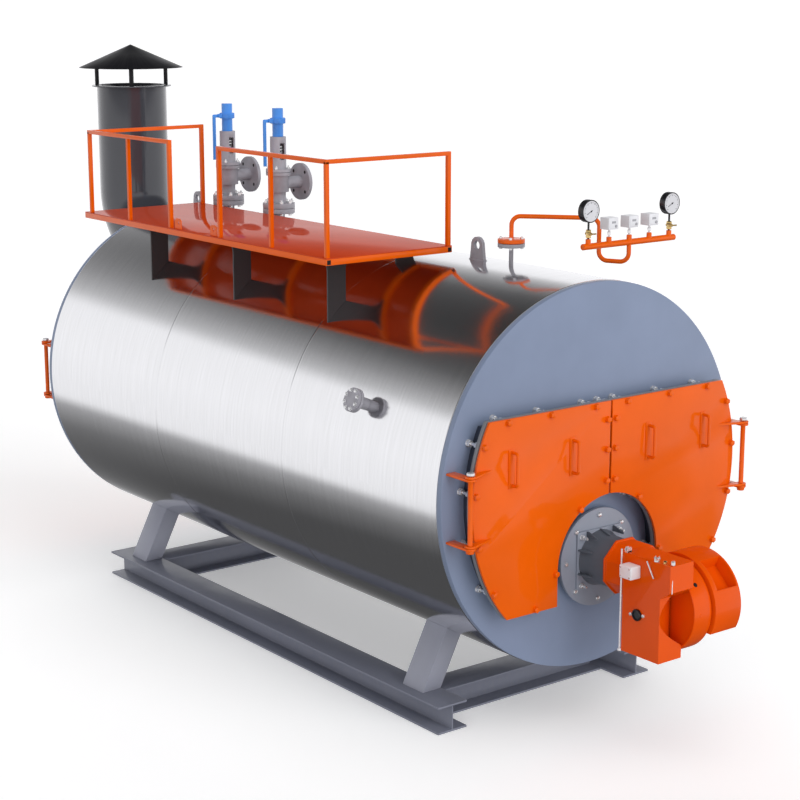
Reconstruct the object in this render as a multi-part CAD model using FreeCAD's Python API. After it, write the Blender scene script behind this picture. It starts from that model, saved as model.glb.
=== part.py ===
"""Horizontal fire-tube steam boiler on a beam base: shell, doors, burner, flue, deck and fittings.

Millimetres. X to the right seen from the front, Y from the front to the rear, Z up.
The origin is on the floor, under the middle of the front cross-beam.
"""
import FreeCAD, Part
import math
import os

V = FreeCAD.Vector
X_AXIS = V(1, 0, 0)
Y_AXIS = V(0, 1, 0)
Z_AXIS = V(0, 0, 1)

# ---------------------------------------------------------------- driving dimensions
# boiler shell
shell_radius = 1100.0          # outside of the cladding
shell_length = 4416.0          # over both end plates
shell_wall = 60.0              # plate, insulation and cladding together
shell_clear = 188.0            # underside of the shell over the beams
end_plate_thickness = 38.0
end_plate_inset = 2.0          # end plates are this much smaller in radius than the cladding
cladding_sheets = 3

# base frame
beam_height = 165.0
beam_width = 210.0
beam_web = 9.0
beam_flange = 13.0
beam_spacing = 1452.0          # between the webs of the two long beams
beam_overhang = 301.0          # long beam beyond the centre of a cross-beam
front_overhang = 344.0         # shell beyond the front end of the beams
rear_overhang = 320.0

# saddle legs
leg_width = 132.0              # across the boiler, measured level
leg_depth = 190.0              # along the boiler
leg_foot_inset = 32.0          # middle of the foot, inside the beam's web
leg_lean = 26.5                # degrees from upright, towards the shell
leg_offset = 25.0              # behind the cross-beam's centre

# smoke boxes and their doors
door_margin = 110.0            # round edge of the doors, inside the shell's radius
door_bottom = 655.0            # straight bottom edge, under the shell axis
door_face = 132.0              # front of the doors, out from the end plate
door_thickness = 16.0
door_seal_gap = 10.0           # flange to door
door_joint_gap = 14.0          # between the two doors
arch_clear = 96.0              # burner cut-out, beyond the burner's flange
arch_rise = 6.0                # centre of its round top, over the burner axis
flange_thickness = 24.0
flange_width = 62.0
wall_inset = 45.0              # smoke box wall inside the door's edge
wall_thickness = 8.0

# door hinges and handles
hinge_beyond = 44.0            # hinge axis beyond the doors' round edge
hinge_proud = 33.0             # hinge axis in front of the doors
hinge_levels = (-200.0, 174.0)  # undersides of the frame arms, from the shell axis
arm_thickness = 12.0
arm_gap = 2.0                  # between a frame arm and the door arm on it
arm_tip_radius = 30.0
arm_root_width = 150.0         # door arm along the door
pin_radius = 14.0
pin_clearance = 1.0
pin_head_radius = 22.0
pin_head_height = 18.0
handle_places = (288.0, 726.0)  # from the joint between the doors
handle_drop = 272.0            # middle of a handle under the doors' top edge
handle_height = 180.0
handle_reach = 52.0            # bar centre from the door
handle_bar_radius = 9.0
handle_plate = (44.0, 4.0, 214.0)

# burner, from the front end plate outwards
burner_level = 458.0           # burner axis under the shell axis
mount_collar_radius = 268.0
mount_collar_length = 30.0
mount_flange_radius = 283.0
mount_flange_length = 21.0
throat_plate_half = 170.0
throat_plate_length = 12.0
throat_root_radius = 160.0
throat_radius = 142.0
throat_cone_length = 60.0
head_start = 249.0
head_half = 143.0
head_rim = 10.0
head_rim_length = 14.0
head_end = 418.0
body_left = 165.0
body_width = 174.0
body_end = 700.0
body_below = 412.0             # underside, below the burner axis
body_above = 150.0
fan_behind = 161.0             # fan axis behind the front of the body
fan_drop = 162.0               # fan axis below the burner axis
fan_radius = 254.0
fan_width = 131.0
fan_rim = 12.0                 # width and depth of the rim round the housing's left face
scoop_margin = 14.0            # hollow in the front of the body, inside the housing's radius
scoop_depth = 95.0
brow_reach = 70.0              # the body's upper part, in front of its face
brow_low = (148.0, 196.0)      # its lip and its root, under the body's top
neck_radius = 215.0
neck_width = 12.0
intake_radius = 271.0
intake_width = 200.0
intake_flat = 129.0            # flat underside, below the fan axis
window_floor = 205.0           # inlet window, depth of its floor's two ends from the fan axis
window_angles = (25.0, 66.0)   # its lower and upper end, above level towards the front
window_cheeks = (34.0, 12.0)   # wall left on each side of it
junction_box = (75.0, 90.0, 72.0)
junction_box_gap = 45.0        # in front of the head
junction_box_rise = 33.0       # underside, over the burner axis
sight_radius = 33.0
sight_drop = 177.0             # below the burner axis
sight_behind = 164.0           # behind the front of the body
sight_length = 14.0

# working deck and railings
deck_rise = 87.0               # deck surface over the top of the shell
deck_side_inset = 69.0         # left edge, inside the shell's radius
deck_valve_gap = 16.0          # right edge to the safety valves' flanges
deck_front_gap = 1112.0        # behind the front end plate
deck_rear_gap = 491.0          # ahead of the rear end plate
deck_plate_thickness = 5.0
deck_tube = 36.0
deck_support_thickness = 12.0
deck_support_first = 318.0     # centre of the first one, behind the deck's front edge
deck_support_last = 471.0      # centre of the last one, ahead of its rear edge
deck_support_count = 3
deck_support_left = 241.0      # inside the deck's left edge
deck_support_right = 45.0      # inside the deck's right edge
rail_height = 538.0
rail_tube = 24.0               # square tube, mitred at the corners
rail_post_tube = 22.0          # the posts between
rail_side_inset = 18.0
rail_front_inset = 18.0
rail_rear_inset = 70.0
gate_start = 1133.0            # ladder opening, behind the deck's front edge
gate_width = 580.0             # between the centres of its two posts

# flue
flue_behind = 644.0            # upright run's axis, behind the rear end plate
flue_radius = 257.0
flue_wall = 6.0
flue_bend_radius = 385.0
flue_edge = 41.0               # level run, under the top of the shell
flue_door_gap = 89.0           # level run, over the top edge of the rear doors
flue_rise = 846.0              # top of the pipe over the top of the shell
flue_ring_radius = 295.0
flue_ring_thickness = 10.0
cap_radius = 386.0
cap_height = 168.0
cap_sheet = 6.0
cap_clear = 128.0              # from the ring up to the cap's rim
strut_circle_radius = 254.0
strut_radius = 15.0
strut_turn = 30.0              # degrees
strut_count = 4

# safety valves: heights over the top of the shell
valve_gaps = (1303.0, 674.0)   # ahead of the rear end plate
valve_neck_radius = 40.0
valve_flange_radius = 108.0
valve_flange_low = 82.0
valve_flange_thickness = 32.0
valve_flange_gap = 3.0         # filled by the raised face inside the bolts
valve_face_radius = 68.0
valve_inlet_radius = 48.0
valve_body_low = 224.0
valve_body_radius = 69.0
valve_body_high = 335.0
valve_bonnet_flange_radius = 84.0
valve_bonnet_flange_high = 379.0
valve_bonnet_radius = 54.0
valve_bonnet_bore = 44.0
valve_bonnet_high = 592.0
valve_bonnet_roof = 18.0
valve_window = (36.0, 110.0)
valve_window_low = 440.0
valve_outlet_level = 282.0
valve_outlet_radius = 42.0
valve_outlet_bore = 33.0
valve_outlet_reach = 192.0
valve_outlet_flange_radius = 124.0
valve_outlet_flange_thickness = 24.0
valve_cap_radius = 37.0
valve_collar = (50.0, 679.0, 717.0)
valve_cap_high = 781.0
valve_stem_radius = 9.0
lever_pivot_x = 66.0
lever_pivot_level = 698.0
lever_hang_x = 106.0
lever_length = 300.0
lever_bar = (22.0, 10.0)
lever_pin_radius = 5.0
lever_pin_clearance = 0.5
lever_side_gap = 3.0
fork_ear_thickness = 6.0
fork_ear_radius = 13.0

# lifting lugs
lug_gaps = (1023.0, 271.0)     # behind the front end plate, ahead of the rear one
lug_half_width = 62.0
lug_hole_radius = 26.0
lug_hole_level = 88.0          # over the top of the shell
lug_thickness = 22.0
lug_edge = 50.0                # from the hole's centre to the round top

# gauge line
gauge_nozzle_gap = 726.0       # behind the front end plate
gauge_nozzle_radius = 13.0
gauge_flange_radius = 79.0
gauge_flange_low = 110.0       # over the top of the shell
gauge_flange_thickness = 22.0
gauge_flange_gap = 3.0
gauge_face_radius = 44.0
gauge_pipe_radius = 13.0
gauge_run_rise = 131.0         # level run over the flange
gauge_run = (334.0, -376.0)    # level run, right and forwards
gauge_bend = 52.0
siphon_run = (78.0, -163.0)    # loop, right and forwards
siphon_low = 115.0             # bottom of the loop, under the header
header_drop = 126.0            # header under the level run
header_half = 360.0
header_radius = 18.0
stub_places = (-317.0, -158.0, 0.0, 158.0, 317.0)
stub_radius = 15.0
stub_height = 42.0             # over the header's axis
gauge_stem_radius = 6.0
gauge_cock_radius = 10.0
gauge_cock_length = 26.0
gauge_level = 198.0            # gauge centre over the header's axis
gauge_radius = 64.0
gauge_depth = 38.0
controller_size = (74.0, 70.0, 66.0)
controller_level = 86.0        # underside over the header's axis

# side nozzle
side_nozzle_gap = 763.0        # behind the front end plate
side_nozzle_angle = 22.2       # degrees above level, on the left
side_nozzle_radius = 34.0
side_nozzle_length = 72.0
side_flange_radius = 68.0
side_flange_thickness = 17.0
side_flange_gap = 3.0
side_face_radius = 46.0

# ---------------------------------------------------------------- places worked out from them
axis_height = beam_height + shell_clear + shell_radius
shell_top = axis_height + shell_radius
front_face_y = -beam_overhang - front_overhang
rear_face_y = front_face_y + shell_length
beam_length = shell_length - front_overhang - rear_overhang
leg_foot_x = beam_spacing / 2 - leg_foot_inset
cladding_start = front_face_y + end_plate_thickness
cladding_end = rear_face_y - end_plate_thickness
rear_cross_y = beam_length - 2 * beam_overhang
saddle_rows = (leg_offset, rear_cross_y + leg_offset)
burner_axis_z = axis_height - burner_level
door_radius = shell_radius - door_margin
door_top = shell_radius - flue_edge - 2 * flue_radius - flue_door_gap
arch_half_width = mount_flange_radius + arch_clear
arch_centre_z = burner_axis_z + arch_rise
hinge_x = door_radius + hinge_beyond
hinge_y = front_face_y - door_face - hinge_proud
handle_z = axis_height + door_top - handle_drop
body_right = body_width - body_left
body_bottom = burner_axis_z - body_below
body_top = burner_axis_z + body_above
fan_out = body_end - fan_behind
fan_z = burner_axis_z - fan_drop
valve_places = tuple(rear_face_y - gap for gap in valve_gaps)
lug_places = (front_face_y + lug_gaps[0], rear_face_y - lug_gaps[1])
gauge_nozzle_y = front_face_y + gauge_nozzle_gap
side_nozzle_y = front_face_y + side_nozzle_gap
deck_left = deck_side_inset - shell_radius
deck_right = -valve_flange_radius - deck_valve_gap
deck_front = front_face_y + deck_front_gap
deck_rear = rear_face_y - deck_rear_gap
gate_front = deck_front + gate_start
gate_rear = gate_front + gate_width
deck_top = shell_top + deck_rise
deck_frame_top = deck_top - deck_plate_thickness
deck_frame_low = deck_frame_top - deck_tube
rail_top = deck_top + rail_height
rail_left_x = deck_left + rail_side_inset
rail_right_x = deck_right - rail_side_inset
rail_front_y = deck_front + rail_front_inset
rail_rear_y = deck_rear - rail_rear_inset
flue_y = rear_face_y + flue_behind
flue_inlet_z = shell_top - flue_edge - flue_radius
flue_top = shell_top + flue_rise
flue_ring_top = flue_top + flue_ring_thickness
cap_rim = flue_ring_top + cap_clear


# ---------------------------------------------------------------- helpers
def block(x0, x1, y0, y1, z0, z1):
    return Part.makeBox(x1 - x0, y1 - y0, z1 - z0, V(x0, y0, z0))


def rod(start, end, radius):
    along = end - start
    return Part.makeCylinder(radius, along.Length, start, along)


def tube(start, end, outer, inner):
    return rod(start, end, outer).cut(rod(start, end, inner))


def plate(points, thickness, direction):
    """A flat plate: its outline, pulled along a direction."""
    outline = Part.makePolygon(points + [points[0]])
    return Part.Face(outline).extrude(direction * thickness)


def join(shapes):
    """One solid from pieces that touch or overlap."""
    return shapes[0].fuse(shapes[1:]).removeSplitter()


def bent_bar(points, radius, bend):
    """A round bar or pipe: straight runs through the points, joined by bends of one radius."""
    pieces = []
    start = points[0]
    for before, corner, after in zip(points, points[1:], points[2:]):
        way_in = (corner - before).normalize()
        way_out = (after - corner).normalize()
        turn = way_in.getAngle(way_out)
        reach = bend * math.tan(turn / 2)
        arc_start = corner - way_in * reach
        hub = arc_start + (way_out - way_in * way_in.dot(way_out)).normalize() * bend
        section = Part.Face(Part.Wire(Part.makeCircle(radius, arc_start, way_in)))
        pieces.append(rod(start, arc_start, radius))
        pieces.append(section.revolve(hub, way_in.cross(way_out), math.degrees(turn)))
        start = corner + way_out * reach
    pieces.append(rod(start, points[-1], radius))
    return join(pieces)


def save(node, shape):
    solids = shape.Solids
    shape = solids[0] if len(solids) == 1 else Part.makeCompound(solids)
    shape.exportStep("parts/" + node + ".step")


def mirror_x(shape):
    return shape.mirror(V(0, 0, 0), X_AXIS)


def to_rear(shape):
    """The rear end carries the same pieces as the front, turned about the boiler's middle."""
    middle = V(0, (front_face_y + rear_face_y) / 2, 0)
    turned = shape.copy()
    turned.rotate(middle, Z_AXIS, 180)
    return turned


def around_shell(shape):
    """A piece that stands on the cladding: what lies inside the shell is cut off."""
    inside = rod(V(0, front_face_y, axis_height), V(0, rear_face_y, axis_height), shell_radius)
    return shape.cut(inside)


# ---------------------------------------------------------------- base
def beam(length):
    """An I-section along Y, standing on the floor, centred on X."""
    half = beam_width / 2
    web = beam_web / 2
    low = block(-half, half, 0, length, 0, beam_flange)
    high = block(-half, half, 0, length, beam_height - beam_flange, beam_height)
    middle = block(-web, web, 0, length, beam_flange, beam_height - beam_flange)
    return join([low, middle, high])


def long_beam():
    bar = beam(beam_length)
    bar.translate(V(beam_spacing / 2, -beam_overhang, 0))
    return bar


def cross_beam(y):
    length = beam_spacing - beam_width
    bar = beam(length)
    bar.rotate(V(0, 0, 0), Z_AXIS, -90)
    bar.translate(V(-length / 2, y, 0))
    return bar


def saddle_leg(y):
    """A box leg that leans in from the beam's top to the shell."""
    rise = axis_height - beam_height
    lean = rise * math.tan(math.radians(leg_lean))
    outer = leg_foot_x + leg_width / 2
    inner = leg_foot_x - leg_width / 2
    back = y - leg_depth / 2
    points = [
        V(inner, back, beam_height),
        V(outer, back, beam_height),
        V(outer - lean, back, axis_height),
        V(inner - lean, back, axis_height),
    ]
    leg = around_shell(plate(points, leg_depth, Y_AXIS))
    return min(leg.Solids, key=lambda solid: solid.BoundBox.ZMin)


def make_base():
    right = long_beam()
    save("base_beam_right", right)
    save("base_beam_left", mirror_x(right))
    save("base_crossbeam_front", cross_beam(0))
    save("base_crossbeam_rear", cross_beam(rear_cross_y))
    for name, row in zip(("front", "rear"), saddle_rows):
        leg = saddle_leg(row)
        save("saddle_legs_" + name, Part.makeCompound([leg, mirror_x(leg)]))


# ---------------------------------------------------------------- shell
def make_shell():
    length = (cladding_end - cladding_start) / cladding_sheets
    for number, name in enumerate(("front", "middle", "rear")):
        start = V(0, cladding_start + number * length, axis_height)
        end = start + Y_AXIS * length
        save("cladding_" + name, tube(start, end, shell_radius, shell_radius - shell_wall))
    radius = shell_radius - end_plate_inset
    front = rod(V(0, front_face_y, axis_height), V(0, cladding_start, axis_height), radius)
    save("front_plate", front)
    save("rear_plate", to_rear(front))


# ---------------------------------------------------------------- smoke boxes
def arch_outline(inset, out_near, out_far):
    """The burner cut-out, grown by the inset."""
    half = arch_half_width + inset
    near = front_face_y - out_near
    far = front_face_y - out_far
    low = axis_height - door_bottom - half
    round_top = rod(V(0, far, arch_centre_z), V(0, near, arch_centre_z), half)
    return join([round_top, block(-half, half, far, near, low, arch_centre_z)])


def door_outline(inset, out_near, out_far, arched):
    """A prism of the smoke box's outline, shrunk by the inset, between two distances from the end plate."""
    near = front_face_y - out_near
    far = front_face_y - out_far
    disc = rod(V(0, far, axis_height), V(0, near, axis_height), door_radius - inset)
    limits = block(
        -door_radius, door_radius, far, near,
        axis_height - door_bottom + inset, axis_height + door_top - inset,
    )
    prism = disc.common(limits)
    if arched:
        prism = prism.cut(arch_outline(inset, out_near, out_far))
    return prism


def smoke_box(arched):
    flange_face = door_face - door_thickness - door_seal_gap
    flange_back = flange_face - flange_thickness
    inner = wall_inset + wall_thickness
    wall = door_outline(wall_inset, 0, flange_face, arched)
    wall = wall.cut(door_outline(inner, 0, flange_face, arched))
    flange = door_outline(0, flange_back, flange_face, arched)
    flange = flange.cut(door_outline(flange_width, flange_back, flange_face, arched))
    return join([wall, flange])


def hinge_level(number):
    return axis_height + hinge_levels[number]


def hinge_point(z):
    return V(hinge_x, hinge_y, z)


def arm(outline, z):
    """A level arm: its outline and a round eye on the hinge axis, bored for the pin."""
    centre = hinge_point(z)
    eye = rod(centre, centre + Z_AXIS * arm_thickness, arm_tip_radius)
    blade = plate([V(x, y, z) for x, y in outline], arm_thickness, Z_AXIS)
    bore = rod(centre, centre + Z_AXIS * arm_thickness, pin_radius + pin_clearance)
    return join([eye, blade]).cut(bore)


def frame_arm(number):
    """An arm straight out from the end plate."""
    inner = hinge_x - arm_tip_radius
    outer = hinge_x + arm_tip_radius
    outline = [(inner, front_face_y), (outer, front_face_y), (outer, hinge_y), (inner, hinge_y)]
    return arm(outline, hinge_level(number))


def door_arm(number):
    """An arm on the door's face, wide at its root."""
    face = front_face_y - door_face
    neck = hinge_x - arm_tip_radius / 2
    outline = [
        (hinge_x - arm_tip_radius - arm_root_width, face),
        (neck, face),
        (hinge_x + arm_tip_radius, hinge_y),
        (neck, hinge_y - arm_tip_radius),
    ]
    return arm(outline, hinge_level(number) + arm_thickness + arm_gap)


def hinge_pin():
    """The pin through both arm pairs, welded to the lower frame arm by its head."""
    low = hinge_level(0) - pin_head_height
    high = hinge_level(1) + 2 * arm_thickness + 2 * arm_gap
    shaft = rod(hinge_point(low), hinge_point(high), pin_radius)
    foot = rod(hinge_point(low), hinge_point(hinge_level(0)), pin_head_radius)
    nut = rod(hinge_point(high), hinge_point(high + pin_head_height), pin_head_radius)
    return join([shaft, foot, nut])


def right_door(arched):
    sheet = door_outline(0, door_face - door_thickness, door_face, arched)
    half = block(
        door_joint_gap / 2, door_radius, front_face_y - door_face, front_face_y,
        axis_height - door_bottom, axis_height + door_top,
    )
    return join([sheet.common(half), door_arm(0), door_arm(1)])


def handle(x):
    """A backing plate and an upright U-shaped bar."""
    face = front_face_y - door_face
    width, thickness, height = handle_plate
    low = handle_z - handle_height / 2
    high = handle_z + handle_height / 2
    back = block(x - width / 2, x + width / 2, face - thickness, face,
                 handle_z - height / 2, handle_z + height / 2)
    reach = face - handle_reach
    bar = bent_bar([V(x, face, low), V(x, reach, low), V(x, reach, high), V(x, face, high)],
                   handle_bar_radius, 2 * handle_bar_radius)
    return join([back, bar])


def make_end(name, arched, place):
    """Smoke box, hinges, both doors and their handles; place puts them on the front or the rear end."""
    save(name + "_smoke_box", place(smoke_box(arched)))
    arms = [frame_arm(0), frame_arm(1)]
    arms += [mirror_x(piece) for piece in arms]
    save(name + "_hinge_arms", place(Part.makeCompound(arms)))
    pin = hinge_pin()
    save(name + "_hinge_pins", place(Part.makeCompound([pin, mirror_x(pin)])))
    door = right_door(arched)
    handles = Part.makeCompound([handle(x) for x in handle_places])
    save(name + "_door_right", place(door))
    save(name + "_door_left", place(mirror_x(door)))
    save(name + "_door_right_handles", place(handles))
    save(name + "_door_left_handles", place(mirror_x(handles)))


# ---------------------------------------------------------------- burner
def out_point(x, out, z):
    return V(x, front_face_y - out, z)


def burner_rod(near, far, radius):
    return rod(out_point(0, near, burner_axis_z), out_point(0, far, burner_axis_z), radius)


def octagon(near, far, half):
    """An eight-sided prism on the burner axis, flat side up."""
    corner = half / math.cos(math.radians(22.5))
    points = []
    for step in range(8):
        angle = math.radians(22.5 + 45 * step)
        points.append(out_point(corner * math.cos(angle), near, burner_axis_z + corner * math.sin(angle)))
    return plate(points, near - far, Y_AXIS)


def make_burner():
    flange_start = mount_collar_length
    flange_end = flange_start + mount_flange_length
    save("burner_mount", join([
        burner_rod(0, flange_start, mount_collar_radius),
        burner_rod(flange_start, flange_end, mount_flange_radius),
    ]))

    plate_end = flange_end + throat_plate_length
    cone_end = plate_end + throat_cone_length
    half = throat_plate_half
    square = block(-half, half, front_face_y - plate_end, front_face_y - flange_end,
                   burner_axis_z - half, burner_axis_z + half)
    cone = Part.makeCone(throat_root_radius, throat_radius, throat_cone_length,
                         out_point(0, plate_end, burner_axis_z), -Y_AXIS)
    save("burner_throat", join([square, cone, burner_rod(cone_end, head_start, throat_radius)]))

    rim = octagon(head_start, head_start + head_rim_length, head_half + head_rim)
    save("burner_head", join([rim, octagon(head_start + head_rim_length, head_end, head_half)]))

    head_face = front_face_y - head_end
    body_face = front_face_y - body_end
    body = block(-body_left, body_right, body_face, head_face, body_bottom, body_top)
    brow = plate([V(-body_left, body_face, body_top), V(-body_left, body_face - brow_reach, body_top),
                  V(-body_left, body_face - brow_reach, body_top - brow_low[0]),
                  V(-body_left, body_face, body_top - brow_low[1])], body_width, X_AXIS)
    save("burner_body", join([body, brow]).cut(body_scoop(body_face)))

    make_fan(octagon(head_start, head_end, head_half + head_rim))

    depth, length, height = junction_box
    box_low = burner_axis_z + junction_box_rise
    near = head_face - junction_box_gap
    save("burner_junction_box", block(-body_left - depth, -body_left, near - length, near,
                                      box_low, box_low + height))
    sight_out = body_end - sight_behind
    sight_z = burner_axis_z - sight_drop
    save("burner_sight_port", rod(out_point(-body_left, sight_out, sight_z),
                                  out_point(-body_left - sight_length, sight_out, sight_z), sight_radius))


def body_scoop(body_face):
    """A hollow in the front of the body. It widens and deepens towards the fan."""
    wide = fan_radius - scoop_margin
    cone = Part.makeCone(fan_behind, wide, body_width, out_point(-body_left, fan_out, fan_z), X_AXIS)
    low = fan_z - wide
    wedge = plate([V(-body_left, body_face, low), V(body_right, body_face + scoop_depth, low),
                   V(body_right, body_face - wide, low), V(-body_left, body_face - wide, low)],
                  body_top - brow_low[1] - low, Z_AXIS)
    return cone.common(wedge)


def fan_rod(near, far, radius):
    return rod(out_point(near, fan_out, fan_z), out_point(far, fan_out, fan_z), radius)


def intake_window(near, far):
    """The cut for the intake's inlet window, with a flat floor."""
    points = []
    for reach, angle in ((window_floor, window_angles[0]), (window_floor, window_angles[1]),
                         (2 * intake_radius, window_angles[1]), (2 * intake_radius, window_angles[0])):
        turn = math.radians(angle)
        points.append(out_point(near, fan_out + reach * math.cos(turn), fan_z + reach * math.sin(turn)))
    return plate(points, far - near, X_AXIS)


def make_fan(head_space):
    """Fan housing and air intake, on one axis across the boiler, cut clear of the burner's head."""
    fan_end = body_right + fan_width
    neck_end = fan_end + neck_width
    intake_end = neck_end + intake_width
    housing = fan_rod(body_right, fan_end, fan_radius)
    housing = housing.cut(fan_rod(body_right, body_right + fan_rim, fan_radius - fan_rim))
    save("burner_fan_housing", housing.cut(head_space))
    fan_y = front_face_y - fan_out
    over_flat = block(fan_end, intake_end, fan_y - intake_radius, fan_y + intake_radius,
                      fan_z - intake_flat, fan_z + intake_radius)
    intake = join([fan_rod(fan_end, neck_end, neck_radius), fan_rod(neck_end, intake_end, intake_radius)])
    window = intake_window(neck_end + window_cheeks[0], intake_end - window_cheeks[1])
    save("burner_air_intake", intake.common(over_flat).cut(head_space).cut(window))


# ---------------------------------------------------------------- deck and railings
def deck_support(y):
    """An upright plate from the cladding to the deck frame."""
    half = deck_support_thickness / 2
    sheet = block(deck_left + deck_support_left, deck_right - deck_support_right,
                  y - half, y + half, axis_height, deck_frame_low)
    return max(around_shell(sheet).Solids, key=lambda solid: solid.BoundBox.ZMax)


def deck_bar(x0, x1, y0, y1):
    return block(x0, x1, y0, y1, deck_frame_low, deck_frame_top)


def make_deck():
    save("deck_plate", block(deck_left, deck_right, deck_front, deck_rear, deck_frame_top, deck_top))
    pieces = [deck_bar(deck_left, deck_left + deck_tube, deck_front, deck_rear)]
    pieces.append(deck_bar(deck_right - deck_tube, deck_right, deck_front, deck_rear))
    half = deck_tube / 2
    rows = [deck_front + half, deck_rear - half]
    supports = []
    first = deck_front + deck_support_first
    pitch = (deck_rear - deck_support_last - first) / (deck_support_count - 1)
    for number in range(deck_support_count):
        y = first + number * pitch
        supports.append(deck_support(y))
        rows.append(y)
    pieces += [deck_bar(deck_left, deck_right, y - half, y + half) for y in rows]
    save("deck_frame", join(pieces))
    save("deck_supports", Part.makeCompound(supports))


def rail_run(start, end):
    """Square tube between two corners. It covers both corners, as mitred ends do."""
    half = rail_tube / 2
    return block(min(start.x, end.x) - half, max(start.x, end.x) + half,
                 min(start.y, end.y) - half, max(start.y, end.y) + half,
                 min(start.z, end.z) - half, max(start.z, end.z) + half)


def rail_post(x, y, tube_side, top):
    half = tube_side / 2
    return block(x - half, x + half, y - half, y + half, deck_top, top)


def railing(points, posts):
    """A top rail on a post at each end, and the posts between."""
    corners = [V(x, y, rail_top) for x, y in points]
    pieces = [rail_run(start, end) for start, end in zip(corners, corners[1:])]
    for x, y in (points[0], points[-1]):
        pieces.append(rail_post(x, y, rail_tube, rail_top))
    for x, y in posts:
        pieces.append(rail_post(x, y, rail_post_tube, rail_top))
    return join(pieces)


def make_railings():
    front_middle = (gate_front + rail_front_y) / 2
    rear_middle = (gate_rear + rail_rear_y) / 2
    save("railing_front", railing(
        [(rail_left_x, gate_front), (rail_left_x, rail_front_y), (rail_right_x, rail_front_y)],
        [(rail_left_x, front_middle)],
    ))
    save("railing_rear", railing(
        [(rail_left_x, gate_rear), (rail_left_x, rail_rear_y), (rail_right_x, rail_rear_y)],
        [(rail_left_x, rear_middle)],
    ))


# ---------------------------------------------------------------- flue
def make_flue():
    route = [V(0, rear_face_y, flue_inlet_z), V(0, flue_y, flue_inlet_z), V(0, flue_y, flue_top)]
    outside = bent_bar(route, flue_radius, flue_bend_radius)
    inside = bent_bar(route, flue_radius - flue_wall, flue_bend_radius)
    ring = tube(V(0, flue_y, flue_top), V(0, flue_y, flue_ring_top),
                flue_ring_radius, flue_radius - flue_wall)
    save("flue_pipe", join([outside.cut(inside), ring]))
    base = V(0, flue_y, cap_rim)
    slope = cap_sheet * cap_radius / cap_height
    outer = Part.makeCone(cap_radius, 0, cap_height, base, Z_AXIS)
    inner = Part.makeCone(cap_radius - slope, 0, cap_height - cap_sheet, base, Z_AXIS)
    save("flue_cap", outer.cut(inner))
    under_cap = join([inner, rod(V(0, flue_y, flue_ring_top), base, cap_radius)])
    struts = []
    for number in range(strut_count):
        bar = rod(V(0, flue_y - strut_circle_radius, flue_ring_top),
                  V(0, flue_y - strut_circle_radius, cap_rim + cap_height), strut_radius)
        bar.rotate(V(0, flue_y, 0), Z_AXIS, -strut_turn + number * 360 / strut_count)
        struts.append(bar.common(under_cap))
    save("flue_cap_struts", Part.makeCompound(struts))


# ---------------------------------------------------------------- safety valves
def valve_rod(y, low, high, radius):
    return rod(V(0, y, shell_top + low), V(0, y, shell_top + high), radius)


def valve_neck(y):
    stub = around_shell(rod(V(0, y, axis_height), V(0, y, shell_top + valve_flange_low), valve_neck_radius))
    flange_top = valve_flange_low + valve_flange_thickness
    flange = valve_rod(y, valve_flange_low, flange_top, valve_flange_radius)
    raised_face = valve_rod(y, flange_top, flange_top + valve_flange_gap, valve_face_radius)
    return join([stub, flange, raised_face])


def valve_body(y):
    low = valve_flange_low + valve_flange_thickness + valve_flange_gap
    flange_top = low + valve_flange_thickness
    outlet_z = shell_top + valve_outlet_level
    reach = valve_outlet_reach
    pieces = [
        valve_rod(y, low, flange_top, valve_flange_radius),
        valve_rod(y, flange_top, valve_body_low, valve_inlet_radius),
        valve_rod(y, valve_body_low, valve_body_high, valve_body_radius),
        valve_rod(y, valve_body_high, valve_bonnet_flange_high, valve_bonnet_flange_radius),
        valve_rod(y, valve_bonnet_flange_high, valve_bonnet_high, valve_bonnet_radius),
        rod(V(0, y, outlet_z), V(reach, y, outlet_z), valve_outlet_radius),
        rod(V(reach - valve_outlet_flange_thickness, y, outlet_z), V(reach, y, outlet_z),
            valve_outlet_flange_radius),
    ]
    width, height = valve_window
    window_z = shell_top + valve_window_low
    window = block(-width / 2, width / 2, y - valve_bonnet_radius, y + valve_bonnet_radius,
                   window_z, window_z + height)
    roof = valve_bonnet_high - valve_bonnet_roof
    spring_space = valve_rod(y, valve_bonnet_flange_high, roof, valve_bonnet_bore)
    outlet = rod(V(0, y, outlet_z), V(reach, y, outlet_z), valve_outlet_bore)
    return join(pieces).cut([window, spring_space, outlet])


def lever_pivot(y):
    return V(-lever_pivot_x, y, shell_top + lever_pivot_level)


def valve_cap(y):
    """The cap over the spring screw, with the fork that carries the lever's pin."""
    collar_radius, collar_low, collar_high = valve_collar
    pivot = lever_pivot(y)
    ear_inside = lever_bar[1] / 2 + lever_side_gap
    pieces = [
        valve_rod(y, valve_bonnet_high, collar_low, valve_cap_radius),
        valve_rod(y, collar_low, collar_high, collar_radius),
        valve_rod(y, collar_high, valve_cap_high, valve_cap_radius),
    ]
    for side in (-1, 1):
        near = pivot + Y_AXIS * (side * ear_inside)
        far = pivot + Y_AXIS * (side * (ear_inside + fork_ear_thickness))
        low = min(near.y, far.y)
        ear = rod(near, far, fork_ear_radius)
        bridge = block(pivot.x, -valve_cap_radius, low, low + fork_ear_thickness,
                       pivot.z - fork_ear_radius, pivot.z + fork_ear_radius)
        pieces += [ear, bridge]
    pin_half = Y_AXIS * (ear_inside + fork_ear_thickness)
    pieces.append(rod(pivot - pin_half, pivot + pin_half, lever_pin_radius))
    return join(pieces)


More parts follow.
